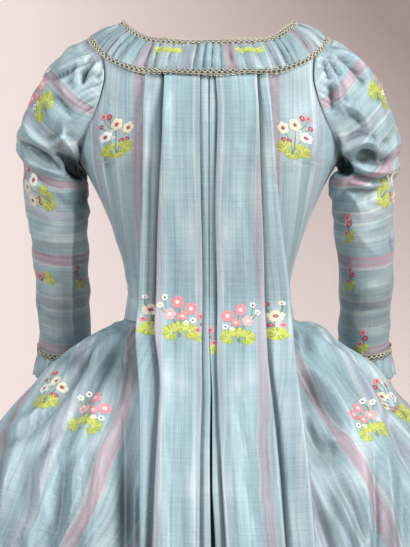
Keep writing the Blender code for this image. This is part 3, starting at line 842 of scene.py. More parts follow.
@dataclass(frozen=True)
class PleatedBack:
    """The box pleats, cut in one from the neck band to the hem: on each side a centre strip, a
    wide upper pleat and a narrow under pleat."""

    figure: Figure
    ply: float = 1.6 * MM
    spread: float = 150 * MM
    hang: float = 70 * MM
    rows: int = 160
    table: tuple[PleatRow, ...] = table_of(
        PleatRow, (-50, 0.2, 1.15, 1.5, 12.0, 54, 78, 1.5, 9.0, 58, 72),
        (-58.5, 0.3, 1.45, 1.5, 12.0, 54, 78, 1.5, 9.0, 58, 72),
        (-95, 1.0, 1.65, 1.5, 12.0, 55, 79, 1.5, 11.0, 59, 75),
        (-145, 1.5, 1.80, 1.5, 11.5, 56, 79, 1.5, 10.0, 60, 78),
        (-205, 2.5, 2.00, 1.5, 10.5, 58, 79, 1.5, 9.5, 61, 82),
        (-265, 6.0, 2.20, 1.5, 9.5, 60, 80, 1.5, 10.0, 62, 87),
        (-325, 9.0, 2.60, 1.5, 9.0, 61, 81, 1.5, 11.0, 63, 93),
        (-366, 9.0, 2.90, 1.5, 9.5, 62, 84, 1.0, 11.0, 64, 96),
        (-384, 7.0, 3.00, 1.8, 10.5, 62, 85, 0.8, 10.0, 65, 97),
        (-404, 5.0, 3.10, 2.4, 12.0, 62, 86, 0.7, 9.0, 67, 99),
        (-430, 4.0, 3.20, 3.2, 13.2, 62.5, 86.5, 0.6, 8.2, 69, 101),
        (-470, 3.5, 3.40, 4.4, 14.5, 64.5, 86.5, 0.6, 8.8, 73, 106),
        (-530, 3.0, 3.60, 5.0, 16.3, 67, 86, 0.8, 11.5, 78, 113),
        (-646, 2.5, 4.40, 3.6, 17.7, 71, 85, 6.4, 18.6, 86, 123),
        (-850, 2.5, 5.80, 2.2, 18.0, 84, 106, 11.0, 28.0, 112, 156),
        (-1372, 2.5, 8.00, 3.0, 38.0, 142, 180, 15.0, 44.0, 168, 228),
    )
    runs: tuple[Run, ...] = table_of(
        Run, (0, "seam", "turn_0", 4), (1, "turn_0", "strip", 4), (2, "strip", "turn_1", 9),
        (3, "turn_1", "inner", 8), (4, "inner", "outer", 26), (3, "outer", "turn_2", 7),
        (2, "turn_2", "under", 18), (1, "under", "end", 5),
    )
    shown_folds: tuple[str, ...] = ("strip", "inner", "outer", "under")
    fold_points: int = 3
    strip_across: float = -44 * MM
    # how strongly, below the waist, the under pleat dips and gets painted shade beside the upper pleat's
    # outer fold
    under_shade: dict[Hand, float] = field(default_factory=lambda: {Hand.LEFT: 0.3, Hand.RIGHT: 1.0})
    pressed_at: float = -134 * MM
    upper_roll: float = 4.5  # how far the upper pleat's outer fold rounds out, in millimetres
    lower_roll: float = 3.0  # the same of the under pleat
    wide: Waves = Waves(1.0, 0.35, 60, 1.6, 71)
    under_across: dict[Hand, tuple[tuple[float, float], ...]] = field(default_factory=lambda: {
        Hand.LEFT: ((-50, 97), (-340, 97), (-400, 82), (-430, 75), (-540, 70), (-646, 68), (-1372, 68)),
        Hand.RIGHT: ((-50, 101), (-360, 101), (-600, 120), (-1372, 120)),
    })

    def heights(self) -> Array:
        """The levels of the grid's rows, closer together towards the top."""
        share = np.linspace(0, 1, self.rows)
        top, bottom = self.table[0].z, self.table[-1].z
        even = top + (bottom - top) * share ** 1.25
        return even * MM

    def measure(self, name: str, z: Array, hand: Optional[Hand] = None) -> Array:
        """One measure of the table at each level, for one hand if it has one for each."""
        return read(self.table, name if hand is None else f"{name}_{hand.word[0]}", z)

    def path(self, z: Array, hand: Hand) -> tuple[Array, Array, Array]:
        """The cloth's way from the centre back outward at every height: flat runs joined by round
        folds, whose middle stands out by half a ply.

        Args:
            z: the levels.
            hand: left or right.

        Returns:
            Distance from the centre back, ply, and 1 on the upper pleat, each rows by columns.
        """
        fold = {name: self.measure(name, z, hand) for name in self.shown_folds}
        outer, under = fold["outer"], fold["under"]
        for number, name in enumerate(self.shown_folds):
            sway = wander(number * 0.7, z, 260 * MM, 60 + number + hand.value)
            sway = sway * (0.5 if name == "strip" else 1.1) * MM
            fold[name] = fold[name] + sway * ease(z, -60 * MM, -140 * MM)
        fold |= {"seam": 0 * z, "turn_0": 0.38 * outer, "turn_1": 0.52 * outer,
                 "turn_2": 0.72 * outer, "end": under - 0.34 * (under - 0.72 * outer)}
        pitch = self.measure("pitch", z)
        x, ply, face = [], [], []
        for number, run in enumerate(self.runs):
            share = np.linspace(0, 1, run.count)
            start, stop = fold[run.start][:, None], fold[run.stop][:, None]
            x.append(start + (stop - start) * share)
            ply.append(np.full((len(z), run.count), float(run.ply)))
            face.append(np.broadcast_to(np.sin(np.pi * share) ** 0.6 * (run.ply == 4), x[-1].shape))
            if number + 1 < len(self.runs):
                after = self.runs[number + 1].ply
                way = np.sign(stop - start)
                turn = np.pi * np.arange(1, self.fold_points + 1) / (self.fold_points + 1)
                x.append(stop + way * np.sin(turn) * 0.45 * pitch[:, None])
                rise = run.ply + (after - run.ply) * (0.5 - 0.5 * np.cos(turn))
                ply.append(np.broadcast_to(rise, x[-1].shape))
                face.append(np.zeros(x[-1].shape))
        return np.hstack(x), np.hstack(ply), np.hstack(face)

    def form(self, z: float) -> Array:
        """The level section that the pleats lie on: flatter than the body, and the skirt below."""
        figure = self.figure
        half_width = max(float(read(figure.torso, "half_width", z)), self.spread)
        reach = read(figure.torso, "back_depth", z)
        x = np.linspace(0, 0.9 * half_width, 200)
        y = -reach * (1 - (x / half_width) ** figure.squareness) ** (1 / figure.squareness)
        if z < figure.waist:
            angles = np.radians(np.linspace(0, 75, 200))
            skirt = around_axis(angles, z, figure.skirt_radius(angles, z))
            wide = np.linspace(0, skirt[-1, 0], 200)
            level = np.where(wide < 0.9 * half_width, np.interp(wide, x, y), 0)
            y = np.minimum(level, np.interp(wide, skirt[:, 0], skirt[:, 1]))
            x, y = wide, np.minimum.accumulate(y[::-1])[::-1]
        return np.stack([x, y], axis=-1)

    def shown(self, length: Array, z: Array, hand: Hand) -> Array:
        """Distances across, counted from the upper pleat's inner fold, that are true where the
        cloth shows and drawn together where it is hidden, so that the repeat falls as it should.

        Args:
            length: distance along each row of the grid.
            z: the levels.
            hand: left or right.

        Returns:
            The distances, rows by columns.
        """
        stops = np.cumsum([run.count + self.fold_points for run in self.runs])
        strip, turn_1, inner, outer, turn_2, under = (stops[k] - 1 for k in (1, 2, 3, 4, 5, 6))
        under_at = smooth(*pairs(self.under_across[hand]), z)
        places = [0, strip, turn_1, inner, outer, turn_2, under, length.shape[1] - 1]
        made = np.empty(length.shape)
        for row, run in enumerate(length):
            known = np.array([self.strip_across - run[strip], self.strip_across,
                              self.strip_across + run[turn_1] - run[strip], 0,
                              run[outer] - run[inner], under_at[row] + run[turn_2] - run[under],
                              under_at[row], under_at[row] + run[-1] - run[under]])
            known = np.maximum.accumulate(known + np.arange(len(known)) * 1e-5)
            made[row] = np.interp(run, run[places], known)
        return made

    def standing(self, x: Array, ply: Array, face: Array, z: Array, hand: Hand) -> tuple[
            Array, Array]:
        """How far each point stands off the form, and how much painted shade it gets: plies on each
        other, pleats that round out towards their outer folds, and hollows beside them.

        Args:
            x: distance from the centre back.
            ply: the ply of each point.
            face: 1 on the upper pleat.
            z: the levels, one for each row.
            hand: left or right.

        Returns:
            Heights in metres, and painted shade from 0 to 1.
        """
        z = z[:, None]
        inner, outer, under = (self.measure(name, z, hand) for name in self.shown_folds[1:])
        soft = self.wide.over(x + hand.value, z, hand)
        pressed = wander(x * 2.4, z * 0.08 + hand.value, 34 * MM, 77) * 0.8 * MM
        across_crease = np.exp(-((z - self.pressed_at) / (4 * MM)) ** 2) * 1.2 * MM
        swell = face * (soft + pressed + 0.5 * MM - across_crease)
        upper = np.clip((ply - 2) / 2, 0, 1) * ease(x / outer, 0.72, 1)
        lower = np.clip(1 - np.abs(ply - 2) * 0.5, 0, 1) * ease(x / under, 0.86, 1) * (x > outer)
        rolled = 1 + wander(z, 0.0, 240 * MM, 75 + hand.value)
        round_out = upper * self.upper_roll + lower * self.lower_roll
        swell = swell + round_out * rolled * MM * ease(-z, 50 * MM, 110 * MM)
        second = np.clip(1 - np.abs(ply - 2), 0, 1)
        lowered = ease(-z, 350 * MM, 470 * MM)
        beside = np.exp(-((x - inner + 1.2 * MM) / (2.6 * MM)) ** 2)
        shade = 1 - (1 - self.under_shade[hand]) * lowered
        under_edge = shade * np.exp(-((x - outer - 1.5 * MM) / (4 * MM)) ** 2)
        hollow = second * (beside * 5 * lowered + under_edge * (2 + 5 * lowered)) * MM
        lift = self.measure("standoff", z) + ply * self.measure("pitch", z) + swell - hollow
        # Painted shade in the slits beside the folds and on the plies beneath.
        deep = np.clip(second * (beside + under_edge) + np.clip(1.7 - ply, 0, 1), 0, 1)
        return self.ply + lift, deep

    def side(self, hand: Hand) -> Cloth:
        """One side of the pleats: each point of the path is stood off the level form by its ply,
        and the rows are evened out with their neighbours, most of all at the waist.

        Args:
            hand: left or right.

        Returns:
            The cloth.
        """
        z = self.heights()
        x, ply, face = self.path(z, hand)
        lift, deep = self.standing(x, ply, face, z, hand)
        points = np.empty(x.shape + (3,))
        for row, level in enumerate(z):
            form = self.form(float(level))
            normal = unit(np.stack([np.gradient(form[:, 1]), -np.gradient(form[:, 0])], axis=-1))
            away = np.stack([np.interp(x[row], form[:, 0], normal[:, k]) for k in (0, 1)], axis=-1)
            points[row, :, 0] = x[row]
            points[row, :, 1] = np.interp(x[row], form[:, 0], form[:, 1])
            points[row, :, :2] += unit(away) * lift[row][:, None]
            points[row, :, 2] = level
        points[..., 0] = np.maximum(points[..., 0], 0)
        reach = (4 + 24 * np.exp(-((z - self.figure.waist) / self.hang) ** 2)) * MM
        near = np.exp(-((z[:, None] - z) / reach[:, None]) ** 2)
        near = near / near.sum(axis=1, keepdims=True)
        points[..., :2] = np.einsum("ij,jkl->ikl", near, points[..., :2])
        cloth = Cloth.laid(f"pleats_{hand.word}_silk", self.figure.drifted(handed(points, hand)))
        ridges = crease_height(PLEAT_CREASES[hand], cloth.points[..., 0], cloth.points[..., 2])
        cloth.points[..., 1] -= ridges * np.minimum(face * 1.5, 1)
        cloth.across = self.shown(running_length(cloth.points, 1), z, hand)
        cloth.hollow = deep
        return cloth.face_out(face[..., None] * BEHIND)


# Neck


class BandRow(NamedTuple):
    """Both edges of the neck strip at one place along it."""

    inner_x: float
    inner_z: float
    outer_x: float
    outer_z: float


class Stretch(NamedTuple):
    """A stretch of the neck strip: its two edges and its outward direction, at every station."""

    inner: Array
    outer: Array
    outward: Array


@dataclass(frozen=True)
class Neck:
    """The gathered band round the back neck, and the robings that carry it on down the front."""

    figure: Figure
    back: tuple[BandRow, ...] = table_of(
        BandRow, (0, -17.5, 0, -56.5), (24, -17.5, 30, -57), (46, -17.0, 58, -57), (66, -15.0, 82, -54),
        (82, -10.0, 104, -47), (94, -3.0, 121, -39.5), (102, 3.0, 134, -30), (107, 7.0, 145, -18.5),
        (109, 9.0, 151, -8.5),
    )
    front: tuple[BandRow, ...] = table_of(
        BandRow, (109, 9.0, 151, -8.5), (109, 5.0, 146, -17.5), (108, -8, 137, -29), (106, -30, 131.5, -42),
        (100, -62, 128.5, -68), (91, -96, 122, -102), (80, -131, 112, -138), (68, -166, 100, -173),
        (57, -202, 88, -208), (46, -242, 76, -248), (35, -286, 64, -292), (24, -326, 53, -330),
        (15, -358, 44, -358),
    )
    stations_per_metre: int = 860
    rows: int = 15
    robing_lift: float = 2.8 * MM
    pleat_stack: float = 8.0 * MM
    bulge: float = 4.4 * MM
    gather_length: float = 14 * MM
    gather_height: float = 5.2 * MM
    # the least painted shade laid evenly over the band and robings
    shade: float = 0.36
    drawn: float = 1.14
    nodes: tuple[str, ...] = ("robing_left", "neck_band", "robing_right")

    def edge(self, table: tuple[BandRow, ...], which: str, side: Side, at: Array) -> Array:
        """One edge of the strip, on the form, at places counted in rows of its table."""
        rows = np.arange(len(table))
        x = smooth(rows, column(table, which + "_x"), at)
        z = smooth(rows, column(table, which + "_z"), at)
        depth = self.figure.depth(x, z, side)
        return np.stack([x, -depth if side is Side.BACK else depth, z], axis=-1)

    def stretch(self) -> Stretch:
        """The whole strip, from the left front waist over both shoulders to the right."""
        edges: list[list[Array]] = [[], []]
        for table, side in ((self.back, Side.BACK), (self.front, Side.FRONT)):
            rows = np.linspace(0, len(table) - 1, 900)
            both = [self.edge(table, which, side, rows) for which in ("inner", "outer")]
            length = running_length((both[0] + both[1]) / 2, 0)
            count = int(length[-1] * self.stations_per_metre)
            at = np.interp(np.linspace(0, length[-1], count), length, rows)
            for found, which in zip(edges, ("inner", "outer")):
                found.append(self.edge(table, which, side, at))
        half = [np.vstack([behind, before[1:]]) for behind, before in edges]
        inner, outer = (np.vstack([handed(line[::-1], Hand.LEFT), line[1:]]) for line in half)
        way = unit(np.gradient((inner + outer) / 2, axis=0))
        return Stretch(inner, outer, unit(np.cross(unit(outer - inner), way)))

    def over_front(self, line: Stretch) -> Array:
        """How far the robings stand off the bodice front."""
        return self.robing_lift * ease(line.outer[:, 1], 20 * MM, 45 * MM)

    def over_pleats(self, line: Stretch) -> Array:
        """How far the band's lower edge is lifted by the pleats under it."""
        behind = line.outer[:, 1] < 0
        return self.pleat_stack * (1 - ease(np.abs(line.outer[:, 0]), 56 * MM, 92 * MM)) * behind

    def strip(self) -> list[Cloth]:
        """The left robing, the band and the right robing: a rounded strip, gathered along both
        edges, whose puckers are uneven in length and lean.

        Returns:
            The three cloths, in the order of the nodes.
        """
        line = self.stretch()
        place = running_length((line.inner + line.outer) / 2, 0)
        share = np.linspace(0.015, 0.98, self.rows)[:, None]
        rng = np.random.default_rng(11)
        puckers = int(place[-1] / self.gather_length)
        knots = uneven(rng, puckers, 0.55, 1.45) * place[-1]
        strength = between(place, knots, rng.uniform(0.35, 1.25, puckers))
        lean = wander(place, 0.0, 90 * MM, 12) * 7 * MM
        shifted = place + lean * (share - 0.5)
        phase = np.interp(shifted, knots, np.arange(puckers + 1))
        ridge = np.abs(np.sin(np.pi * phase)) ** 0.7 - 0.4
        at_edges = 0.6 + 0.4 * np.sin(np.pi * share)
        second = (0.5 + 0.5 * np.cos(4 * np.pi * phase + 1.3)) * np.abs(share - 0.5) * 1.1
        height = self.bulge * np.sin(np.pi * share) ** 0.8
        height = height + self.gather_height * (ridge * at_edges * strength + 0.3 * second)
        height = height + wander(place, share * 60 * MM, 26 * MM, 13) * 0.7 * MM
        under = 0.3 + 0.7 * ease(share, 0, 1)
        lifted = height + self.over_front(line) + under * self.over_pleats(line) + 0.4 * MM
        points = line.inner + (line.outer - line.inner) * share[..., None]
        points = points + lifted[..., None] * line.outward
        peak = int(np.argmax(line.inner[:, 2]))
        shoulders = sorted((peak, len(place) - 1 - peak))
        # Painted shade in the valleys between the puckers, and at least the even painted shade all over.
        deep = np.clip((blurred(height, False) - height) / (0.9 * MM), 0, 1)
        made = []
        for node, first, last in zip(self.nodes, (0, *shoulders), (*shoulders, len(place) - 1)):
            part = slice(first, last + 1)
            cloth = Cloth.laid(node + "_silk", points[:, part])
            cloth.hollow = np.maximum(deep[:, part], self.shade)
            cloth.across = np.broadcast_to(place[part], cloth.across.shape)
            cloth.stripes = (cloth.across - place[-1] / 2) * self.drawn + place[-1] / 2
            made.append(cloth.face_out(line.outward[part]))
        return made


# Threads: cords and loops carried along a path


def tube(path: Array, radius: Places, sides: int, closed: bool = False) -> tuple[Array, Array]:
    """A round thread: a ring of points round each point of a path, turned with the path.

    Args:
        path: count by 3.
        radius: at each point of the path, or one for all.
        sides: points in a ring.
        closed: whether the path closes.

    Returns:
        The points and the quads.
    """
    ahead = np.roll(path, -1, axis=0) - np.roll(path, 1, axis=0)
    way = unit(ahead if closed else np.gradient(path, axis=0))
    rough = np.where(np.abs(way[:, 2:]) < 0.9, [[0.0, 0.0, 1.0]], [[1.0, 0.0, 0.0]])
    aside = unit(np.cross(way, rough))
    above = np.cross(aside, way)
    turn = 2 * np.pi * np.arange(sides)[:, None] / sides
    ring = aside[:, None] * np.cos(turn) + above[:, None] * np.sin(turn)
    points = path[:, None] + ring * np.broadcast_to(radius, len(path))[:, None, None]
    return points.reshape(-1, 3), quads((len(path), sides), (closed, True))[:, ::-1]


@dataclass
class Parts:
    """Meshes gathered to become one object: their points, faces and finish numbers."""

    points: list[Array] = field(default_factory=list)
    faces: list[list[int]] = field(default_factory=list)
    finishes: list[int] = field(default_factory=list)
    count: int = 0

    def add(self, points: Array, faces: Array, finish: int = 0) -> None:
        """Takes in one mesh.

        Args:
            points: count by 3.
            faces: each a row of point numbers.
            finish: number of its material.
        """
        self.points.append(points)
        self.faces.extend((np.asarray(faces) + self.count).tolist())
        self.finishes.extend([finish] * len(faces))
        self.count += len(points)

    def build(self, name: str, materials: Sequence[bpy.types.Material]) -> bpy.types.Object:
        """Makes the object, riding on the gown."""
        mesh = bpy.data.meshes.new(name)
        mesh.from_pydata(np.vstack(self.points), [], self.faces)
        for material in materials:
            mesh.materials.append(material)
        mesh.polygons.foreach_set("material_index", np.array(self.finishes, np.int32))
        mesh.shade_smooth()
        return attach(linked(name, mesh), BODY)


@dataclass(frozen=True)
class Gimp:
    """A looped gimp: two threads that loop over each other along a core, picots on both edges."""

    width: float = 8.2 * MM
    loop: float = 7.0 * MM
    thread: float = 0.5 * MM
    steps: int = 12
    sides: int = 3

    def threads(self, middle: Array, aside: Array, outward: Array, closed: bool = False) -> Parts:
        """The gimp along a line: each looping thread is a trochoid across the line's direction,
        lifted where it crosses the other one.

        Args:
            middle: the line, count by 3.
            aside: unit directions across it.
            outward: unit directions away from the cloth.
            closed: whether the line closes.

        Returns:
            The gathered meshes: finish 0 for cream, 1 for gold, 2 for grey.
        """
        line = np.vstack([middle, middle[:1]]) if closed else middle
        length = running_length(line, 0)
        loops = max(4, round(float(length[-1]) / self.loop))
        count = loops * self.steps
        at = np.linspace(0, length[-1], count, endpoint=not closed)

        def on_line(values: Array, places: Array) -> Array:
            """The line's values at places along it."""
            ends = np.vstack([values, values[:1]]) if closed else values
            return np.stack([np.interp(places, length, ends[:, k]) for k in range(3)], axis=-1)

        turn = 2 * np.pi * at / (length[-1] / loops)
        made = Parts()
        for number, phase in enumerate((0.0, np.pi, 0.5 * np.pi)):
            loose = 1 + 0.45 * wander(at, 0.0, 9 * self.loop, 15 + number)
            shifted = at + 0.42 * self.loop * np.sin(2 * turn + phase) * loose
            if closed:
                shifted = shifted % length[-1]
            wide = (0.5, 0.5, 0.3)[number] * (self.width - 2 * self.thread) * loose
            sway = wide * np.sin(turn * (1, 1, 2)[number] + phase)
            rise = self.thread * (1.3 + 0.9 * np.cos(2 * turn + phase * 0.5 + number))
            path = (on_line(middle, shifted) + unit(on_line(aside, shifted)) * sway[:, None]
                    + unit(on_line(outward, shifted)) * rise[:, None])
            made.add(*tube(path, self.thread, self.sides, closed), number)
        core = on_line(middle, at) + unit(on_line(outward, at)) * self.thread
        twist = 1 + 0.35 * np.sin(4 * turn)
        made.add(*tube(core, 1.3 * self.thread * twist, self.sides, closed), 2)
        return made


# Sleeves


class RingRow(NamedTuple):
    """A ring of the sleeve: its outer and inner points, half its depth, how far forward its middle
    lies, how far back and front are drawn inward, and the height of its fold."""

    outer_x: float
    outer_z: float
    inner_x: float
    inner_z: float
    half_depth: float
    forward: float
    drawn_in: float
    fold: float


@dataclass(frozen=True)
class Sleeve:
    """The elbow sleeve, pleated into the armhole over the shoulder, with its cuff and lace."""

    figure: Figure
    rings: tuple[RingRow, ...] = table_of(
        RingRow, (172, -19, 167.5, -165, 66, 0, 16, 0.0), (196, -40, 162.5, -176, 62, 0, 10, 0.0),
        (213, -64, 157.0, -187, 58, 1, 5, 0.6), (226, -92, 152.0, -197, 55, 3, 2, -1.0),
        (237, -119, 149.5, -206, 52, 5, 0, 2.0), (242, -140, 150.5, -215, 50, 8, 0, -2.4),
        (239, -160, 152.0, -226, 48, 11, 0, 2.6), (234, -182, 153.5, -239, 46, 15, 0, -1.6),
        (232, -208, 155.0, -256, 45, 19, 0, 1.0), (229, -255, 157.0, -287, 44, 29, 0, 0.0),
        (225, -318, 158.0, -334, 42, 46, 0, 0.0), (223, -362, 158.0, -370, 42, 60, 0, 0.6),
        (222, -403, 157.5, -405, 42, 76, 0, 0.0),
    )
    clearance: float = 1.6 * MM
    seam_gap: float = 0.5 * MM
    seam_rows: int = 10
    elbow_slope: float = 0.26
    rows: int = 160
    columns: int = 150
    head_pleats: int = 25
    head_pleat_height: float = 4.4 * MM
    head_reach: float = 100.0  # how far the pleats go round from the shoulder, in degrees
    front_lower: float = 9 * MM  # how much lower the creases lie in front
    front_share: float = 0.8  # of their height, in front
    pinch: float = 7 * MM
    pinch_level: float = -182 * MM
    pinch_reach: float = 14 * MM
    wide: Waves = Waves(0.8, 1.0, 60, 1.3, 53)
    fine: Waves = Waves(0.7, 1.0, 62, 3.0, 57, True)
    creases: tuple[Crease, ...] = ()
    # hollows pressed into the back, with painted shade in them and over the lower sleeve
    hollows: tuple[Hollow, ...] = ()
    slant: tuple[float, float] = (0.0, 0.0)

    def turns(self) -> Array:
        """The columns' places round the arm, closer together behind than before."""
        even = np.linspace(0, 2 * np.pi, self.columns, endpoint=False)
        return even + 0.4 * np.cos(even)

    def armhole(self, turn: Array) -> Array:
        """The armhole's edge. The turn is 0 on the shoulder and a quarter at the back."""
        top, bottom = self.figure.armhole[0][0] * MM, self.figure.armhole[-1][0] * MM
        middle = (top + bottom) / 2
        z = middle + (top - middle) * np.cos(turn)
        x = smooth(*pairs(self.figure.armhole), z)
        behind = self.figure.depth(x, z, Side.BACK)
        depth = np.where(np.sin(turn) > 0, -behind, self.figure.depth(x, z, Side.FRONT))
        return np.stack([x, depth * ease(np.abs(np.sin(turn)), 0, 0.02), z], axis=-1)

    def knots(self, turn: Array) -> Array:
        """The table's rings: ellipses between outer and inner points, narrowed at back and front
        near the armhole, in metres."""
        made = [self.armhole(turn)]
        for row in self.rings:
            outer = np.array([row.outer_x, row.forward, row.outer_z])
            inner = np.array([row.inner_x, row.forward, row.inner_z])
            ring = (outer + inner) / 2 + np.cos(turn)[:, None] * (outer - inner) / 2
            ring[:, 1] -= np.sin(turn) * row.half_depth
            ring[:, 0] -= np.abs(np.sin(turn)) ** (3 - np.cos(turn)) * row.drawn_in
            inside = (1 - np.cos(turn)) / 2
            away = unit(ring - (outer + inner) / 2)
            ring += away * (row.fold * inside * (0.4 + 0.6 * np.sin(turn) ** 2))[:, None]
            made.append(ring * MM)
        rings = np.array(made)
        slope = ease(np.arange(len(rings)), len(rings) - 5, len(rings) - 1) * self.elbow_slope
        rings[..., 2] -= slope[:, None] * (rings[..., 1].mean(axis=1)[:, None] - rings[..., 1])
        return rings

    def form(self, hand: Hand) -> Cloth:
        """The sleeve's cloth on smooth curves through the rings, evenly spaced down the arm."""
        turn = self.turns()
        knots = self.knots(turn)
        number = np.arange(len(knots))
        apart = np.linalg.norm(np.diff(knots, axis=0), axis=-1).mean(axis=1)
        down = np.concatenate([[0], np.cumsum(apart)])
        at = np.interp(np.linspace(0, down[-1], self.rows), down, number)
        values = np.moveaxis(knots, 0, -1)
        values = np.broadcast_to(values[None], (self.rows,) + values.shape)
        places = np.broadcast_to(at[:, None, None], values.shape[:-1])
        points = smooth(number, values, places)
        clear = ease(np.arange(self.rows), 0, self.seam_rows)[:, None]
        points[..., 0] += self.seam_gap + (self.clearance - self.seam_gap) * clear
        inside = ((1 - np.cos(turn)) / 2) ** 2
        above = (points[..., 2] - self.pinch_level) / self.pinch_reach
        points[..., 0] -= self.pinch * inside * np.exp(-above ** 2)
        points = handed(points, hand)
        points[..., 0] += self.figure.arm_drift * ease(points[..., 2], -190 * MM, -330 * MM)
        cloth = Cloth.laid(f"sleeve_{hand.word}_silk", points, closed=True)
        down = running_length(points, 0)
        cloth.along = down - down[-1:]
        return cloth.face_out(points - points.mean(axis=1, keepdims=True))

    def piece(self, hand: Hand) -> Cloth:
        """The sleeve with the pleats of its head and the creases of the bent arm.

        Args:
            hand: left or right.

        Returns:
            The cloth.
        """
        cloth = self.form(hand)
        x, y, z = np.moveaxis(cloth.points, -1, 0)
        turn = self.turns()
        signed = np.where(turn > np.pi, turn - 2 * np.pi, turn)
        reach = np.radians(self.head_reach)
        phase = (signed + reach) / (2 * reach) * self.head_pleats
        rng = np.random.default_rng(50 + hand.value)
        number = np.arange(self.head_pleats + 1)
        jitter = np.interp(phase, number, rng.uniform(-0.22, 0.22, len(number)))
        phase = np.clip(phase + jitter, 0, self.head_pleats)
        down = cloth.along - cloth.along[:1]
        saw = phase - np.floor(phase)
        ridge = np.sin(np.pi * saw) ** 0.6 - 0.5
        ridge = ridge * between(phase, number, rng.uniform(0.3, 1.35, self.head_pleats))
        long = between(phase, number, rng.uniform(28, 95, self.head_pleats))
        dying = (1 - np.clip(down / (long * MM), 0, 1)) ** 1.2 * ease(down, -2 * MM, 14 * MM)
        height = self.head_pleat_height * ridge * dying * (np.abs(signed) < reach)
        middle = cloth.points.mean(axis=1, keepdims=True)[..., 1]
        behind = ease(-(y - middle), -10 * MM, 12 * MM)
        # Hollows pressed in and darkened with painted shade.
        cloth = cloth.pressed(self.hollows, behind)
        height = height + crease_height(self.creases, x, z) * behind
        front = crease_height(self.creases, x, z + self.front_lower) * self.front_share
        height = height + front * (1 - behind)
        rough = sum(wave.over(cloth.across, cloth.along, hand) for wave in (self.wide, self.fine))
        outer, inner = self.slant
        inward = ease(np.abs(signed), np.radians(25), np.radians(105))
        cloth.tilt = (outer + (inner - outer) * inward) * MM * ease(z, -270 * MM, -140 * MM)
        # Painted shade in the troughs of the pleats, creases and crumples.
        return cloth.raised(height + rough * ease(down, 0, 12 * MM), 0.8)


def even_ring(ring: Array, count: int) -> Array:
    """Evenly spaced points round a closed line."""
    closed = np.vstack([ring, ring[:1]])
    length = running_length(closed, 0)
    at = np.linspace(0, length[-1], count, endpoint=False)
    return np.stack([np.interp(at, length, closed[:, k]) for k in range(3)], axis=-1)


def level_out(ring: Array) -> Array:
    """Level unit directions from the middle of a ring to its points."""
    return unit((ring - ring.mean(axis=0)) * LEVEL)


class FrillRow(NamedTuple):
    """A level of a frill: its drop, its reach beyond the sleeve's end, and its waves' height."""

    drop: float
    reach: float
    wave: float


@dataclass(frozen=True)
class Frill:
    """A gathered tube that hangs from the sleeve's end."""

    name: str
    waves: int
    levels: tuple[FrillRow, ...]
    rows: int = 22
    points_per_wave: int = 14
    scallop: float = 0.0
    seed: int = 1

    def piece(self, ring: Array, hand: Hand) -> Cloth:
        """The frill below a ring: waves of uneven width grow towards its free edge.

        Args:
            ring: the sleeve's end, a closed line.
            hand: left or right.

        Returns:
            The cloth.
        """
        count = self.waves * self.points_per_wave
        base = even_ring(ring, count)
        outward = level_out(base)
        drop = np.linspace(self.levels[0].drop, self.levels[-1].drop, self.rows)[:, None] * MM
        reach, wave = read(self.levels, "reach", drop), read(self.levels, "wave", drop)
        knots = uneven(np.random.default_rng(self.seed + hand.value), self.waves, 0.7, 1.3) * count
        phase = 2 * np.pi * np.interp(np.arange(count), knots, np.arange(self.waves + 1))
        grown = (drop - drop[0]) / (drop[-1] - drop[0])
        ripple = np.sin(phase) + 0.25 * np.sin(2 * phase + 1.1) * grown
        edge = self.scallop * np.abs(np.sin(phase * 2)) * grown ** 3
        points = base + outward * (reach + wave * ripple)[..., None]
        points[..., 2] = base[:, 2] - drop - edge + 0.10 * wave * np.cos(phase) * grown
        cloth = Cloth.laid(f"{self.name}_{hand.word}_silk", points, closed=True)
        return cloth.face_out(points - points.mean(axis=1, keepdims=True))


# Flowers woven into the silk


class Floss(Enum):
    """The colours of the flowers' silk, each the number of its finish."""

    ROSE = 0
    BLUSH = 1
    WHITE = 2
    CREAM = 3
    CRIMSON = 4
    LEAF = 5
    MOSS = 6
    BROWN = 7
    STEM = 8
    VEIN = 9


class Bloom(NamedTuple):
    """A flower of a spray: its middle, its size and the floss of its petals and of its eye."""

    x: float
    y: float
    radius: float
    petals: int
    petal: Floss
    eye: Floss


class Leaf(NamedTuple):
    """A leaf of a spray: its foot, its direction in degrees, its length and width, and its floss."""

    x: float
    y: float
    turn: float
    length: float
    width: float
    floss: Floss


def fan(x: float, y: float, turns: Sequence[float], length: float, width: float) -> tuple[Leaf, ...]:
    """Leaves that spread from one foot, bright and dark by turns."""
    return tuple(Leaf(x, y, turn, length, width, Floss.MOSS if number % 2 else Floss.LEAF)
                 for number, turn in enumerate(turns))


class Stem(NamedTuple):
    """A stem of a spray, from one place to another, bowed aside at its middle."""

    x0: float
    y0: float
    x1: float
    y1: float
    bow: float


@dataclass(frozen=True)
class Spray:
    """A bunch of flowers, in millimetres over the flat cloth, with +Y up the warp."""

    blooms: tuple[Bloom, ...]
    leaves: tuple[Leaf, ...]
    stems: tuple[Stem, ...]


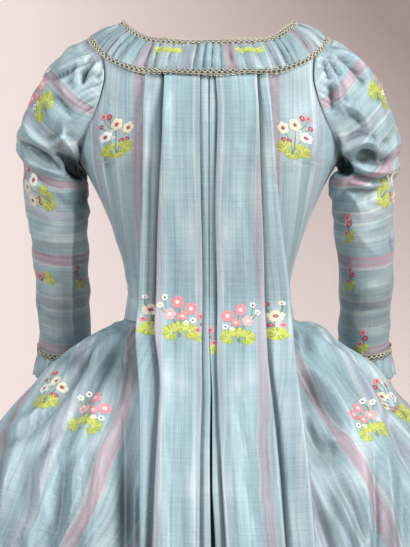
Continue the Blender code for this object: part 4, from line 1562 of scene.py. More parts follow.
ROSE_SPRAY = Spray(
    blooms=table_of(
        Bloom, (-11, 13, 6.6, 6, Floss.ROSE, Floss.WHITE), (3, 20, 6.6, 6, Floss.ROSE, Floss.WHITE),
        (11, 7, 6.4, 6, Floss.BLUSH, Floss.WHITE), (-2, 5, 5.2, 6, Floss.ROSE, Floss.CREAM),
        (17, 25, 3.4, 5, Floss.WHITE, Floss.BROWN), (22, 17, 3.2, 5, Floss.WHITE, Floss.LEAF),
        (-13, 0, 3.4, 5, Floss.WHITE, Floss.BROWN), (-6, -3, 3.0, 5, Floss.WHITE, Floss.LEAF),
    ),
    leaves=fan(-9, -13, (74, 112, 150, 190, 228, 268), 10.5, 7.4) + fan(
        9, -14, (108, 70, 30, -12, -50, -90), 11, 7.6) + fan(0, -8, (60, 120, 200, 270, 340), 8, 5.5),
    stems=table_of(
        Stem, (0, -20, -11, 13, -3.0), (1, -20, 3, 20, 2.5), (2, -20, 11, 7, 3.0), (9, 3, 17, 25, -2.0),
        (8, 3, 22, 17, -1.5), (0, -14, -13, 0, -1.0),
    ),
)

DAISY_SPRAY = Spray(
    blooms=table_of(
        Bloom, (-2, 15, 7.4, 5, Floss.CREAM, Floss.CRIMSON), (-15, 5, 7.0, 5, Floss.CREAM, Floss.CRIMSON),
        (12, 4, 7.2, 5, Floss.WHITE, Floss.CRIMSON), (6, 27, 3.6, 5, Floss.CRIMSON, Floss.ROSE),
        (14, 29, 3.8, 5, Floss.ROSE, Floss.CRIMSON), (17, 18, 3.0, 5, Floss.CRIMSON, Floss.ROSE),
        (-11, -8, 3.0, 5, Floss.CRIMSON, Floss.ROSE), (-5, -7, 3.0, 5, Floss.CRIMSON, Floss.ROSE),
        (3, 0, 1.8, 5, Floss.WHITE, Floss.LEAF), (5, 9, 1.8, 5, Floss.WHITE, Floss.LEAF),
    ),
    leaves=fan(-7, -17, (72, 104, 140, 190, 235, 285), 10.5, 7) + fan(
        8, -17, (112, 78, 42, -8, -50, -98), 11, 7.2) + fan(0, -25, (200, 250, 300, 340), 8, 6),
    stems=table_of(
        Stem, (0, -26, -2, 15, -2.0), (0, -26, -15, 5, -4.0), (1, -26, 12, 4, 3.0), (2, 12, 6, 27, -1.5),
        (4, 12, 14, 29, -2.0), (10, 8, 17, 18, 1.0),
    ),
)

HALF_SPRAY = Spray(
    blooms=table_of(
        Bloom, (0, 5, 6.6, 5, Floss.CREAM, Floss.CRIMSON), (-6, 19, 2.8, 5, Floss.CRIMSON, Floss.ROSE),
        (5, 20, 2.8, 5, Floss.WHITE, Floss.ROSE), (-4, -6, 2.8, 5, Floss.CRIMSON, Floss.ROSE),
        (5, -6, 2.8, 5, Floss.ROSE, Floss.CRIMSON),
    ),
    leaves=fan(0, -18, (60, 100, 140, 200, 250, 290, 340), 10, 8),
    stems=(Stem(0, -22, 0, 5, 1.5), Stem(0, 4, -6, 19, 2), Stem(0, 4, 5, 20, -2)),
)

SPRIG = Spray(
    blooms=table_of(
        Bloom, (0, 11, 4.2, 5, Floss.ROSE, Floss.CRIMSON), (-3, 3, 3.8, 5, Floss.CRIMSON, Floss.ROSE),
        (3, -4, 3.4, 5, Floss.ROSE, Floss.CRIMSON),
    ),
    leaves=fan(0, -10, (150, 210, 270, 330, 30), 9, 6),
    stems=(Stem(0, -14, 0, 11, 1.5),),
)

LEAFLETS = Spray(
    blooms=(),
    leaves=fan(-11, 2, (195, 235, 275, 320), 9, 5) + fan(1, 3, (210, 255, 300), 9, 5) + fan(
        11, 2, (220, 265, 310, 345), 9, 5),
    stems=(),
)


class Placed(NamedTuple):
    """A spray on a piece: where its middle is seen from behind or before, in millimetres."""

    spray: Spray
    x: float
    z: float
    side: Side = Side.BACK
    turn: float = 0.0
    size: float = 1.0


def heading(turn: Places) -> Array:
    """The direction, or directions, at an angle over the flat cloth."""
    return np.array([np.cos(turn), np.sin(turn)])


@dataclass
class Flowers:
    """The sprays of one piece, woven in floss that lies just proud of the silk."""

    cloth: Cloth
    relief: float = 0.35 * MM
    clear: float = 0.40 * MM
    stem_half_width: float = 0.42  # of a spray of the common size, in millimetres
    made: Parts = field(default_factory=Parts)

    def lay(self, at: tuple[int, int], flat: Array, lift: Array, faces: Array,
            floss: Floss) -> None:
        """Lays one flat mesh on the cloth, so that up the warp is up the piece."""
        flat = flat.reshape(-1, 2) * np.array([1, -1])
        points = self.cloth.spread(at, flat, lift.reshape(-1) + self.clear)
        self.made.add(points, faces if self.cloth.outward < 0 else faces[:, ::-1], floss.value)

    def oval(self, at: tuple[int, int], place: Array, turn: float, length: float, width: float,
             point: float, floss: Floss, low: float = 0.0) -> None:
        """A petal or leaf: a rounded oval from its foot, domed over its middle, as two rows of
        points round a spine.

        Args:
            at: the spray's grid place.
            place: the foot, in metres from the spray's middle.
            turn: direction, in radians.
            length: from foot to tip.
            width: across the widest place.
            point: 0 for a round tip, 1 for a pointed one.
            floss: its colour.
            low: how much higher it lies, in metres.
        """
        steps = 7
        t = np.linspace(0, 1, steps)
        half = 0.5 * width * np.sin(np.pi * t ** (1.3 - point)) ** (0.55 + 0.6 * point)
        rows = np.stack([half, np.zeros(steps), -half], axis=1)
        forward = np.repeat(t[:, None] * length, 3, axis=1)
        flat = place + forward[..., None] * heading(turn) + rows[..., None] * heading(
            turn + np.pi / 2)
        dome = self.relief * np.sin(np.pi * np.clip(t, 0.04, 0.96)) ** 0.5
        lift = np.stack([0 * dome, dome, 0 * dome], axis=1) + low
        self.lay(at, flat, lift, quads((steps, 3)), floss)

    def eye(self, at: tuple[int, int], place: Array, radius: float, floss: Floss) -> None:
        """The round middle of a flower."""
        sides = 8
        around = np.arange(sides)
        rim = place + radius * heading(2 * np.pi * around / sides).T
        lift = np.append(np.full(sides, self.relief * 0.9), self.relief * 1.7)
        faces = np.stack([around, np.roll(around, -1), np.full(sides, sides)], axis=-1)
        self.lay(at, np.vstack([rim, place]), lift, faces, floss)

    def stem(self, at: tuple[int, int], stem: Stem, turned: Array, size: float,
             height: float = 0.3, floss: Floss = Floss.STEM) -> None:
        """A thin curved stem or vein: a ribbon along a parabola, at a share of the relief."""
        steps = 6
        t = np.linspace(0, 1, steps)[:, None]
        start, stop = np.array([stem.x0, stem.y0]), np.array([stem.x1, stem.y1])
        way = unit(stop - start)
        side = np.array([-way[1], way[0]])
        line = start + (stop - start) * t + side * stem.bow * 4 * t * (1 - t)
        half = side * self.stem_half_width
        flat = np.stack([line + half, line - half], axis=1)
        lift = np.full(2 * steps, self.relief * height)
        self.lay(at, flat * size * MM @ turned, lift, quads((steps, 2)), floss)

    def place(self, placed: Placed) -> None:
        """Weaves one spray into the piece.

        Args:
            placed: the spray and its place.
        """
        at = self.cloth.locate(placed.x, placed.z, placed.side)
        angle = np.radians(placed.turn)
        turned = np.array([heading(angle), heading(angle + np.pi / 2)])
        size = placed.size
        for stem in placed.spray.stems:
            self.stem(at, stem, turned, size)
        for leaf in placed.spray.leaves:
            foot = np.array([leaf.x, leaf.y]) * size * MM @ turned
            way = np.radians(leaf.turn) + angle
            self.oval(at, foot, way, leaf.length * size * MM, 1.25 * leaf.width * size * MM, 0.5,
                      leaf.floss)
            tip = 0.85 * leaf.length * heading(np.radians(leaf.turn))
            vein = Stem(leaf.x, leaf.y, leaf.x + tip[0], leaf.y + tip[1], 0.6)
            self.stem(at, vein, turned, size, 1.5, Floss.VEIN)
        for bloom in placed.spray.blooms:
            middle = np.array([bloom.x, bloom.y]) * size * MM @ turned
            radius = bloom.radius * size * MM
            for number in range(bloom.petals):
                way = 2 * np.pi * number / bloom.petals + 0.4 + bloom.x
                foot = middle + 0.22 * radius * heading(way)
                width = 1.6 * radius * np.sin(np.pi / bloom.petals)
                self.oval(at, foot, way, 0.84 * radius, width, 0.0, bloom.petal, 0.06 * MM)
            self.eye(at, middle, 0.34 * radius, bloom.eye)


# Finishes


class Stripe(NamedTuple):
    """A woven stripe of the repeat: its middle, its width and how softly its edges fade, in
    millimetres, its colour, and how much of the ground it hides."""

    middle: float
    width: float
    fade: float
    colour: Colour
    cover: float


GROUND: Colour = (0.275, 0.392, 0.430)
PALE: Colour = (0.60, 0.66, 0.66)
CREAM: Colour = (0.66, 0.67, 0.60)
LILAC: Colour = (0.37, 0.35, 0.43)
MAUVE: Colour = (0.40, 0.29, 0.35)
ROSE: Colour = (0.42, 0.19, 0.24)
# The near-black of the painted shade in folds and hollows.
SHADE_COLOUR: Colour = (0.030, 0.055, 0.065)

REPEAT = 120.0  # of the stripes over the cloth, in millimetres
WASHES = table_of(
    Stripe, (30, 18, 7, MAUVE, 0.60), (60, 26, 20, PALE, 0.22), (90, 17, 8, LILAC, 0.48),
)
LINES = table_of(
    Stripe, (21.0, 1.6, 1.6, CREAM, 0.35), (26.0, 2.6, 2.4, ROSE, 0.40), (34.0, 3.4, 3.0, ROSE, 0.42),
    (81.5, 2.4, 2.4, CREAM, 0.42), (98.5, 2.4, 2.4, CREAM, 0.42),
)


class Nodes:
    """A short way to write a material's nodes."""

    def __init__(self, name: str) -> None:
        """Starts a material with a Principled shader and its output."""
        self.material = bpy.data.materials.new(name)
        self.material.use_nodes = True
        self.tree = self.material.node_tree
        self.shader = self.tree.nodes["Principled BSDF"]

    def fill(self, node: bpy.types.Node, values: dict[str | int, object]) -> bpy.types.Node:
        """Gives a node's sockets links or plain values, and returns the node."""
        for key, value in values.items():
            if isinstance(value, Socket):
                self.tree.links.new(value, node.inputs[key])
            elif isinstance(value, tuple):
                node.inputs[key].default_value = (*value, 1.0)
            else:
                node.inputs[key].default_value = value
        return node

    def new(self, kind: str, values: Optional[dict[str | int, object]] = None,
            **settings: str) -> bpy.types.Node:
        """A new node of a kind, with the values of its sockets and its settings."""
        node = self.tree.nodes.new("ShaderNode" + kind)
        for name, setting in settings.items():
            setattr(node, name, setting)
        return self.fill(node, values or {})

    def math(self, operation: str, *values: object) -> Socket:
        """A Math node's result."""
        return self.new("Math", dict(enumerate(values)), operation=operation).outputs[0]

    def flat_place(self) -> tuple[Socket, Socket]:
        """The place on the flat cloth, across and along, in metres."""
        split = self.new("SeparateXYZ", {0: self.new("UVMap", uv_map=CLOTH_MAP).outputs[0]})
        return split.outputs[0], split.outputs[1]

    def place(self) -> Socket:
        """The place in the object's own coordinates."""
        return self.new("TexCoord").outputs["Object"]

    def noise(self, place: Socket, scale: float = 1.0, detail: float = 2.0,
              roughness: float = 0.5) -> Socket:
        """Noise of so many waves a unit of the place."""
        return self.new("TexNoise", {"Vector": place, "Scale": scale, "Detail": detail,
                                     "Roughness": roughness}).outputs["Fac"]

    def waves(self, across: Socket, along: Socket, wide: float, long: float, detail: float = 2.0,
              roughness: float = 0.5) -> Socket:
        """Noise of so many waves a metre across and along."""
        place = self.new("CombineXYZ", {0: self.math("MULTIPLY", across, wide),
                                        1: self.math("MULTIPLY", along, long)}).outputs[0]
        return self.noise(place, 1.0, detail, roughness)

    def mix(self, share: object, first: object, second: object, blend: str = "MIX") -> Socket:
        """A Mix node's colour."""
        values = {0: share, 6: first, 7: second}
        return self.new("Mix", values, data_type="RGBA", blend_type=blend).outputs[2]

    def bump(self, height: Socket, distance: float, under: Optional[Socket] = None) -> Socket:
        """A Bump node's normal."""
        values = {"Distance": distance, "Height": height} | ({"Normal": under} if under else {})
        return self.new("Bump", values).outputs[0]

    def finish(self, colour: Socket, roughness: object, normal: Optional[Socket] = None,
               **others: object) -> bpy.types.Material:
        """The material, with its shader's colour, roughness, normal and other values."""
        values = {"Base Color": colour, "Roughness": roughness}
        values |= {name.replace("_", " "): value for name, value in others.items()}
        self.fill(self.shader, values | ({"Normal": normal} if normal else {}))
        return self.material


@dataclass(frozen=True)
class SilkFinish:
    """Crisp striped taffeta: the repeat's stripes by colour stops, warp streaks and weft bars by
    stretched noise, and a fine ribbed weave and soft crumples as bump. Painted shade from each
    point's attribute darkens the colour, most in folds and hollows.

    Args:
        name: the material's name.
        shift: distance over the cloth at which the repeat starts, in millimetres.
        way: 1 or -1, the direction in which the repeat runs.
        grain: whether the stripes run down the piece or round it.
        strength: how strongly the stripes show.
        roughness: of the silk.
    """

    name: str
    shift: float = 0.0
    way: int = 1
    grain: Grain = Grain.DOWN
    strength: float = 1.0
    roughness: float = 0.52

    def layer(self, nodes: Nodes, colour: Socket, share: Socket, uneven: Socket,
              stripes: Sequence[Stripe]) -> Socket:
        """The stripes of one layer over the colour so far.

        Args:
            nodes: the material's nodes.
            colour: what lies under the stripes.
            share: place in the repeat, from 0 to 1.
            uneven: how strongly the stripes show.
            stripes: the layer's stripes, in order.

        Returns:
            The colour.
        """
        node = nodes.new("ValToRGB", {0: share})
        elements = node.color_ramp.elements
        elements.remove(elements[1])
        elements[0].position, elements[0].color = 0.0, (*stripes[0].colour, 0)
        for stripe in stripes:
            half, soft = stripe.width / 2, stripe.fade / 2
            for off, cover in ((-half - soft, 0), (soft - half, stripe.cover),
                               (half - soft, stripe.cover), (half + soft, 0)):
                element = elements.new((stripe.middle + off) / REPEAT)
                element.color = (*stripe.colour, cover)
        cover = nodes.math("MULTIPLY", node.outputs["Alpha"], uneven)
        return nodes.mix(cover, colour, node.outputs["Color"])

    def material(self) -> bpy.types.Material:
        """The finish as a material."""
        nodes = Nodes(self.name)
        across, along = nodes.flat_place()
        over, down = (across, along) if self.grain is Grain.DOWN else (along, across)

        def streaks(wide: float, long: float, detail: float = 2.0) -> Socket:
            """Noise of so many waves a metre over the stripes and along them."""
            return nodes.waves(over, down, wide, long, detail)

        frayed = nodes.math("MULTIPLY_ADD", nodes.math("SUBTRACT", streaks(300, 30), 0.5), 1.2 * MM,
                            over)
        place = nodes.math("MULTIPLY", nodes.math("SUBTRACT", frayed, self.shift * MM),
                           self.way / (REPEAT * MM))
        share = nodes.math("WRAP", place, 1.0, 0.0)
        warp, weft, broad = streaks(900, 9), streaks(16, 620), streaks(38, 5)
        thin = streaks(230, 4, 3.0)
        worn = nodes.math("MULTIPLY_ADD", streaks(9, 6), 1.3, 0.35)
        uneven = nodes.math("MULTIPLY", worn, nodes.math(
            "MULTIPLY_ADD", thin, 1.3 * self.strength, 0.35 * self.strength))
        aged = nodes.math("SUBTRACT", streaks(11, 7, 3.0), 0.5)
        faded = nodes.math("MAXIMUM", nodes.math("MULTIPLY", aged, 2.6), 0.0)
        colour = nodes.mix(faded, GROUND, PALE)
        for stripes in (WASHES, LINES):
            colour = self.layer(nodes, colour, share, uneven, stripes)
        value = -0.22
        for noise, weight in ((warp, 0.62), (weft, 0.34), (broad, 0.78), (thin, 0.78)):
            value = nodes.math("MULTIPLY_ADD", noise, weight, value)
        bright = nodes.new("CombineColor", {0: value, 1: value, 2: value}).outputs[0]
        colour = nodes.mix(1.0, colour, bright, "MULTIPLY")
        # Painted shade: each point's attribute darkens the colour towards a near-black, most in folds and
        # hollows.
        deep = nodes.new("Attribute", attribute_name=SHADE_ATTRIBUTE).outputs["Fac"]
        dark = nodes.math("MULTIPLY", nodes.math("POWER", deep, 1.4), 0.86)
        colour = nodes.mix(dark, colour, SHADE_COLOUR)
        rough = nodes.math("MULTIPLY_ADD", weft, 0.14, self.roughness - 0.07)
        rib, slub = streaks(140, 1300, 1.0), streaks(16, 420, 1.0)
        normal = nodes.bump(nodes.waves(across, along, 60.0, 38.0, 3.0, 0.55), 1.3 * MM)
        normal = nodes.bump(rib, 0.14 * MM, nodes.bump(slub, 0.22 * MM, normal))
        return nodes.finish(colour, rough, normal, Metallic=0.08, Specular_IOR_Level=0.5,
                            Sheen_Weight=0.2, Sheen_Roughness=0.3, Sheen_Tint=(0.86, 0.93, 0.95))


@dataclass(frozen=True)
class ThreadFinish:
    """Silk floss or cord: one colour, streaked finely along and lit unevenly."""

    name: str
    colour: Colour
    roughness: float = 0.5
    grain: float = 900.0
    uneven: float = 0.5

    def material(self) -> bpy.types.Material:
        """The finish as a material."""
        nodes = Nodes(self.name)
        streaked = nodes.noise(nodes.place(), self.grain)
        low = tuple(c * (1 - self.uneven * 0.6) for c in self.colour)
        high = tuple(min(1.0, c * (1 + self.uneven * 0.5)) for c in self.colour)
        return nodes.finish(nodes.mix(streaked, low, high), self.roughness,
                            nodes.bump(streaked, 0.25 * MM), Sheen_Weight=0.2)


@dataclass(frozen=True)
class LaceFinish:
    """Fine net with a woven pattern: small round meshes let light through, and a closer sprig
    pattern stands on them."""

    name: str
    colour: Colour = (0.74, 0.68, 0.55)
    mesh: float = 1.3 * MM

    def material(self) -> bpy.types.Material:
        """The finish as a material."""
        nodes = Nodes(self.name)
        across, along = nodes.flat_place()
        place = nodes.new("CombineXYZ", {0: across, 1: along}).outputs[0]
        cells = nodes.new("TexVoronoi", {"Vector": place, "Scale": 1 / self.mesh})
        threads = nodes.math("GREATER_THAN", cells.outputs["Distance"], 0.36)
        pattern = nodes.waves(across, along, 95.0, 95.0, 0.0)
        cover = nodes.math("MAXIMUM", threads, nodes.math("GREATER_THAN", pattern, 0.54))
        tone = nodes.waves(across, along, 700.0, 700.0)
        dark, pale = (tuple(min(1.0, c * share) for c in self.colour) for share in (0.7, 1.25))
        normal = nodes.bump(nodes.math("ADD", cover, tone), 0.3 * MM)
        return nodes.finish(nodes.mix(tone, dark, pale), 0.75, normal, Alpha=cover)


# The room


class Lamp(NamedTuple):
    """A square area light of a metre: its place, what it faces, its power and its colour."""

    name: str
    place: Place
    aim: Place
    power: float
    colour: Colour


@dataclass(frozen=True)
class Studio:
    """A pale room: a floor that turns up into a backdrop, soft lights and the camera."""

    floor_level: float = -1376 * MM
    view_x: float = -5 * MM
    view_z: float = -304 * MM
    view_width: float = 512.5 * MM
    subject_y: float = -50 * MM
    distance: float = 5.0
    camera_z: float = -250 * MM
    sensor: float = 36.0
    floor_front: float = -7.0
    floor_back: float = 1.6
    bend: float = 0.8
    wall_height: float = 2.4
    half_width: float = 6.0
    paper: Colour = (0.82, 0.725, 0.70)
    # the colour of the painted shade at the backdrop's upper right
    dusk: Colour = (0.33, 0.265, 0.25)
    air: Colour = (0.90, 0.86, 0.85)
    lamps: tuple[Lamp, ...] = (
        Lamp("window right", (2.05, -1.72, 2.11), (0, 0, -0.304), 112, (1.0, 0.99, 0.97)),
        Lamp("low window right", (2.7, -2.26, 0.45), (0, 0, -0.304), 52, (1.0, 0.99, 0.97)),
        Lamp("window left", (-2.25, -1.89, 1.8), (0, 0, -0.304), 92, (0.97, 0.99, 1.0)),
        Lamp("wall light", (-1.1, 0.9, -0.5), (-0.5, 2.4, -0.45), 5.4, (1.0, 0.98, 0.97)),
    )

    def build(self) -> None:
        """Makes floor, backdrop, lights, world and camera."""
        self.backdrop()
        for lamp in self.lamps:
            self.light(lamp)
        world = bpy.data.worlds.new("room air")
        world.use_nodes = True
        shade = world.node_tree.nodes["Background"].inputs
        shade["Color"].default_value = (*self.air, 1)
        shade["Strength"].default_value = 0.03
        bpy.context.scene.world = world
        bpy.context.scene.view_settings.view_transform = "Standard"
        self.camera()

    def backdrop(self) -> None:
        """The floor and backdrop: a profile of floor, quarter round and wall, carried sideways."""
        turn = np.linspace(0, np.pi / 2, 24)
        wall = self.floor_back + self.bend
        y = np.concatenate([[self.floor_front], self.floor_back + self.bend * np.sin(turn), [wall]])
        z = np.concatenate([[0.0], self.bend * (1 - np.cos(turn)), [self.wall_height]])
        x = np.tile([-self.half_width, self.half_width], len(y))
        points = np.stack([x, np.repeat(y, 2), np.repeat(z + self.floor_level, 2)], axis=-1)
        mesh = bpy.data.meshes.new("backdrop")
        mesh.from_pydata(points, [], quads((len(y), 2))[:, ::-1].tolist())
        mesh.shade_smooth()
        mesh.materials.append(self.paper_finish())
        linked("backdrop", mesh)

    def paper_finish(self) -> bpy.types.Material:
        """Paper with painted shade that darkens it towards the upper right. It is see-through from its
        rear, so that the gown's front can be looked at too."""
        nodes = Nodes("backdrop paper")
        place = nodes.new("SeparateXYZ", {0: nodes.place()}).outputs
        # Painted shade on the backdrop, darker towards the upper right.
        aside = nodes.math("MAXIMUM", nodes.math("ADD", place[0], 0.36), 0.0)
        upward = nodes.math("MAXIMUM", nodes.math("ADD", place[2], 0.62), 0.0)
        dusk = nodes.math("MULTIPLY", nodes.math("MULTIPLY", aside, upward), 1.9)
        colour = nodes.mix(nodes.math("MINIMUM", dusk, 1.0), self.paper, self.dusk)
        either = nodes.new("MixShader", {0: nodes.new("NewGeometry").outputs["Backfacing"],
                                         1: nodes.shader.outputs[0],
                                         2: nodes.new("BsdfTransparent").outputs[0]})
        nodes.fill(nodes.tree.nodes["Material Output"], {"Surface": either.outputs[0]})
        return nodes.finish(colour, 0.9)

    def light(self, lamp: Lamp) -> None:
        """Makes one lamp."""
        light = bpy.data.lights.new(lamp.name, "AREA")
        light.energy, light.size, light.color = lamp.power, 1.0, lamp.colour
        thing = linked(lamp.name, light)
        thing.location = lamp.place
        way = Vector(np.array(lamp.aim) - np.array(lamp.place))
        thing.rotation_euler = way.to_track_quat("-Z", "Y").to_euler()

    def camera(self) -> None:
        """The camera: level behind the gown, with a lens that takes in the stated width."""
        lens = bpy.data.cameras.new("camera")
        lens.sensor_fit, lens.sensor_width = "HORIZONTAL", self.sensor
        lens.lens = self.sensor * self.distance / self.view_width
        camera = linked("camera", lens)
        camera.location = (self.view_x, self.subject_y - self.distance, self.camera_z)
        aim = Vector((0, self.distance, self.view_z - self.camera_z))
        camera.rotation_euler = aim.to_track_quat("-Z", "Y").to_euler()
        bpy.context.scene.camera = camera


# Where the stripes and the flowers lie


BODICE_SHIFT = {Hand.LEFT: 58, Hand.RIGHT: 53}
PLEAT_SHIFT = 28
SKIRT_SHIFT = 30
SLEEVE_SHIFT = {Hand.LEFT: 17, Hand.RIGHT: 20}
SLEEVE_SLANT = {Hand.LEFT: (0.0, -30.0), Hand.RIGHT: (17.0, -17.0)}
BAND_SHIFT = -13
CUFF_SHIFT = 20
BODICE_FLOWERS = {
    Hand.LEFT: (Placed(DAISY_SPRAY, -117, -133, turn=-30, size=1.1),),
    Hand.RIGHT: (Placed(DAISY_SPRAY, 110, -133, turn=-30, size=1.1),),
}
FRONT_FLOWERS = {
    Hand.LEFT: (Placed(DAISY_SPRAY, -118, -150, Side.FRONT), Placed(ROSE_SPRAY, -64, -300, Side.FRONT)),
    Hand.RIGHT: (Placed(DAISY_SPRAY, 118, -150, Side.FRONT), Placed(ROSE_SPRAY, 64, -300, Side.FRONT)),
}
PLEAT_FLOWERS = {
    Hand.LEFT: (Placed(ROSE_SPRAY, -35, -359, size=1.2), Placed(HALF_SPRAY, -73, -353, size=1.1),
                Placed(SPRIG, -6, -366, size=1.3), Placed(ROSE_SPRAY, -50, -820, size=1.2),
                Placed(ROSE_SPRAY, -84, -1270, size=1.2)),
    Hand.RIGHT: (Placed(ROSE_SPRAY, 37, -365, size=1.15), Placed(HALF_SPRAY, 86, -360, size=1.1),
                 Placed(SPRIG, 5, -384, size=1.3), Placed(ROSE_SPRAY, 68, -820, size=1.2),
                 Placed(ROSE_SPRAY, 104, -1270, size=1.2)),
}
SKIRT_FLOWERS = {
    Hand.LEFT: (Placed(ROSE_SPRAY, -150, -474, turn=14, size=1.2),
                Placed(DAISY_SPRAY, -199, -446, turn=-6, size=0.95)),
    Hand.RIGHT: (Placed(ROSE_SPRAY, 194, -485, turn=22, size=1.2),
                 Placed(DAISY_SPRAY, 229, -462, turn=30, size=1.05)),
}
SLEEVE_FLOWERS = {
    Hand.LEFT: (Placed(ROSE_SPRAY, -216, -84, turn=80, size=1.2),
                Placed(DAISY_SPRAY, -222, -201, turn=85, size=1.0),
                Placed(SPRIG, -214, -309, turn=90, size=1.2), Placed(SPRIG, -162, -309)),
    Hand.RIGHT: (Placed(ROSE_SPRAY, 221, -69, turn=70, size=1.2),
                 Placed(DAISY_SPRAY, 238, -196, turn=80, size=1.1),
                 Placed(SPRIG, 172, -250, size=1.2), Placed(SPRIG, 175, -312), Placed(SPRIG, 193, -392)),
}
BAND_FLOWERS = {"neck_band": (Placed(LEAFLETS, -52, -23), Placed(LEAFLETS, 52, -22))}


# The creases, hollows and painted shade of the worn cloth


SLEEVE_CREASES = {
    Hand.LEFT: table_of(
        Crease, (-146, -29, -207, -61, 3, 5, 6), (-146, -31, -198, -62, 3, 3, -9),
        (-142, -34, -157, -66, -3, 3, -9), (-139, -35, -150, -52, 0, 3, -7),
        (-161, -37, -168, -70, 0, 5, 4), (-141, -37, -146, -69, 0, 4, 3.5),
        (-186, -62, -180, -96, 3, 6, 3), (-194, -80, -172, -111, 3, 7, -4.5),
        (-232, -111, -194, -146, -7, 7, 6.5), (-196, -146, -179, -122, -4, 5, 6),
        (-186, -131, -171, -153, 4, 4, 6), (-240, -138, -181, -180, 3, 5, -9),
        (-236, -150, -179, -181, -5, 6, 8), (-240, -146, -209, -191, -6, 5, -6),
        (-197, -161, -175, -173, 3, 4, 6), (-192, -153, -154, -184, 0, 8, -10),
        (-230, -182, -190, -200, -5, 7, 4), (-214, -196, -176, -204, 3, 7, -3),
        (-222, -262, -176, -252, 4, 9, 2.2), (-220, -330, -176, -338, 3, 9, 2.2),
        (-168, -190, -170, -400, -4, 4, 2.5),
    ),
    Hand.RIGHT: table_of(
        Crease, (154, -54, 161, -99, 3, 5, 6), (150, -68, 154, -103, 2, 7, -7),
        (162, -24, 208, -70, 4, 5, 5), (158, -28, 196, -71, 3, 3, -8),
        (148, -31, 163, -58, 0, 3, -8), (143, -33, 150, -62, 0, 3, -8),
        (178, -26, 222, -78, 5, 7, 4), (162, -91, 202, -137, 11, 7, 5),
        (171, -103, 196, -126, 4, 12, -7), (211, -88, 224, -135, 0, 12, 5),
        (169, -149, 214, -149, 10, 5, 8), (181, -163, 211, -159, 6, 8, -10),
        (214, -160, 234, -128, -4, 5, 6), (224, -163, 238, -131, -4, 5, -6),
        (178, -165, 242, -162, -12, 6, 8), (178, -180, 246, -172, -13, 6, -8),
        (175, -188, 234, -188, -5, 6, 6.5), (172, -199, 220, -196, -4, 6, -5),
        (172, -200, 191, -231, 3, 7, 4), (200, -212, 236, -226, 3, 8, 3),
        (186, -258, 230, -246, 4, 9, 2.5), (158, -158, 179, -178, 0, 9, -10),
        (178, -330, 224, -322, 3, 9, 2.5), (182, -352, 220, -346, -3, 8, -2.5),
    ),
}
# Painted shade over the upper back beside the neck band, barely pressed in.
BACK_PAINTED_SHADE = {
    Hand.LEFT: (Hollow(-116, -68, 26, 34, 0.3, 0.5),),
    Hand.RIGHT: (Hollow(108, -66, 26, 30, 0.3, 0.5),),
}
# Deep hollows under the arms, black with painted shade, and painted shade over the lower sleeves.
SLEEVE_HOLLOWS_AND_SHADE = {
    Hand.LEFT: (Hollow(-164, -172, 15, 17, 24), Hollow(-158, -205, 9, 24, 9),
                Hollow(-192, -356, 44, 46, 0.5, 0.48)),
    Hand.RIGHT: (Hollow(166, -166, 13, 13, 22), Hollow(196, -158, 17, 7, 7),
                 Hollow(212, -348, 56, 46, 0.5, 0.66)),
}
PLEAT_CREASES = {
    Hand.LEFT: table_of(
        Crease, (-60, -462, -54, -520, 2, 6, -2.4), (-45, -535, -40, -572, 2, 5, -2.0),
        (-50, -190, -48, -330, 3, 7, 1.4), (-22, -400, -26, -640, 2, 6, 1.6),
        (-56, -585, -50, -646, -2, 6, 2.0),
    ),
    Hand.RIGHT: table_of(
        Crease, (29, -145, 62, -156, -3, 3, 1.8), (31, -444, 45, -468, 2, 3, 2.4),
        (37, -478, 46, -540, 2, 4, -2.8), (46, -552, 49, -590, 1, 4, -2.8),
        (60, -574, 57, -620, -2, 5, -3.2), (20, -440, 32, -640, 4, 6, 2.2),
        (70, -500, 78, -640, 3, 6, 1.8), (36, -200, 40, -330, 3, 8, 1.2),
    ),
}
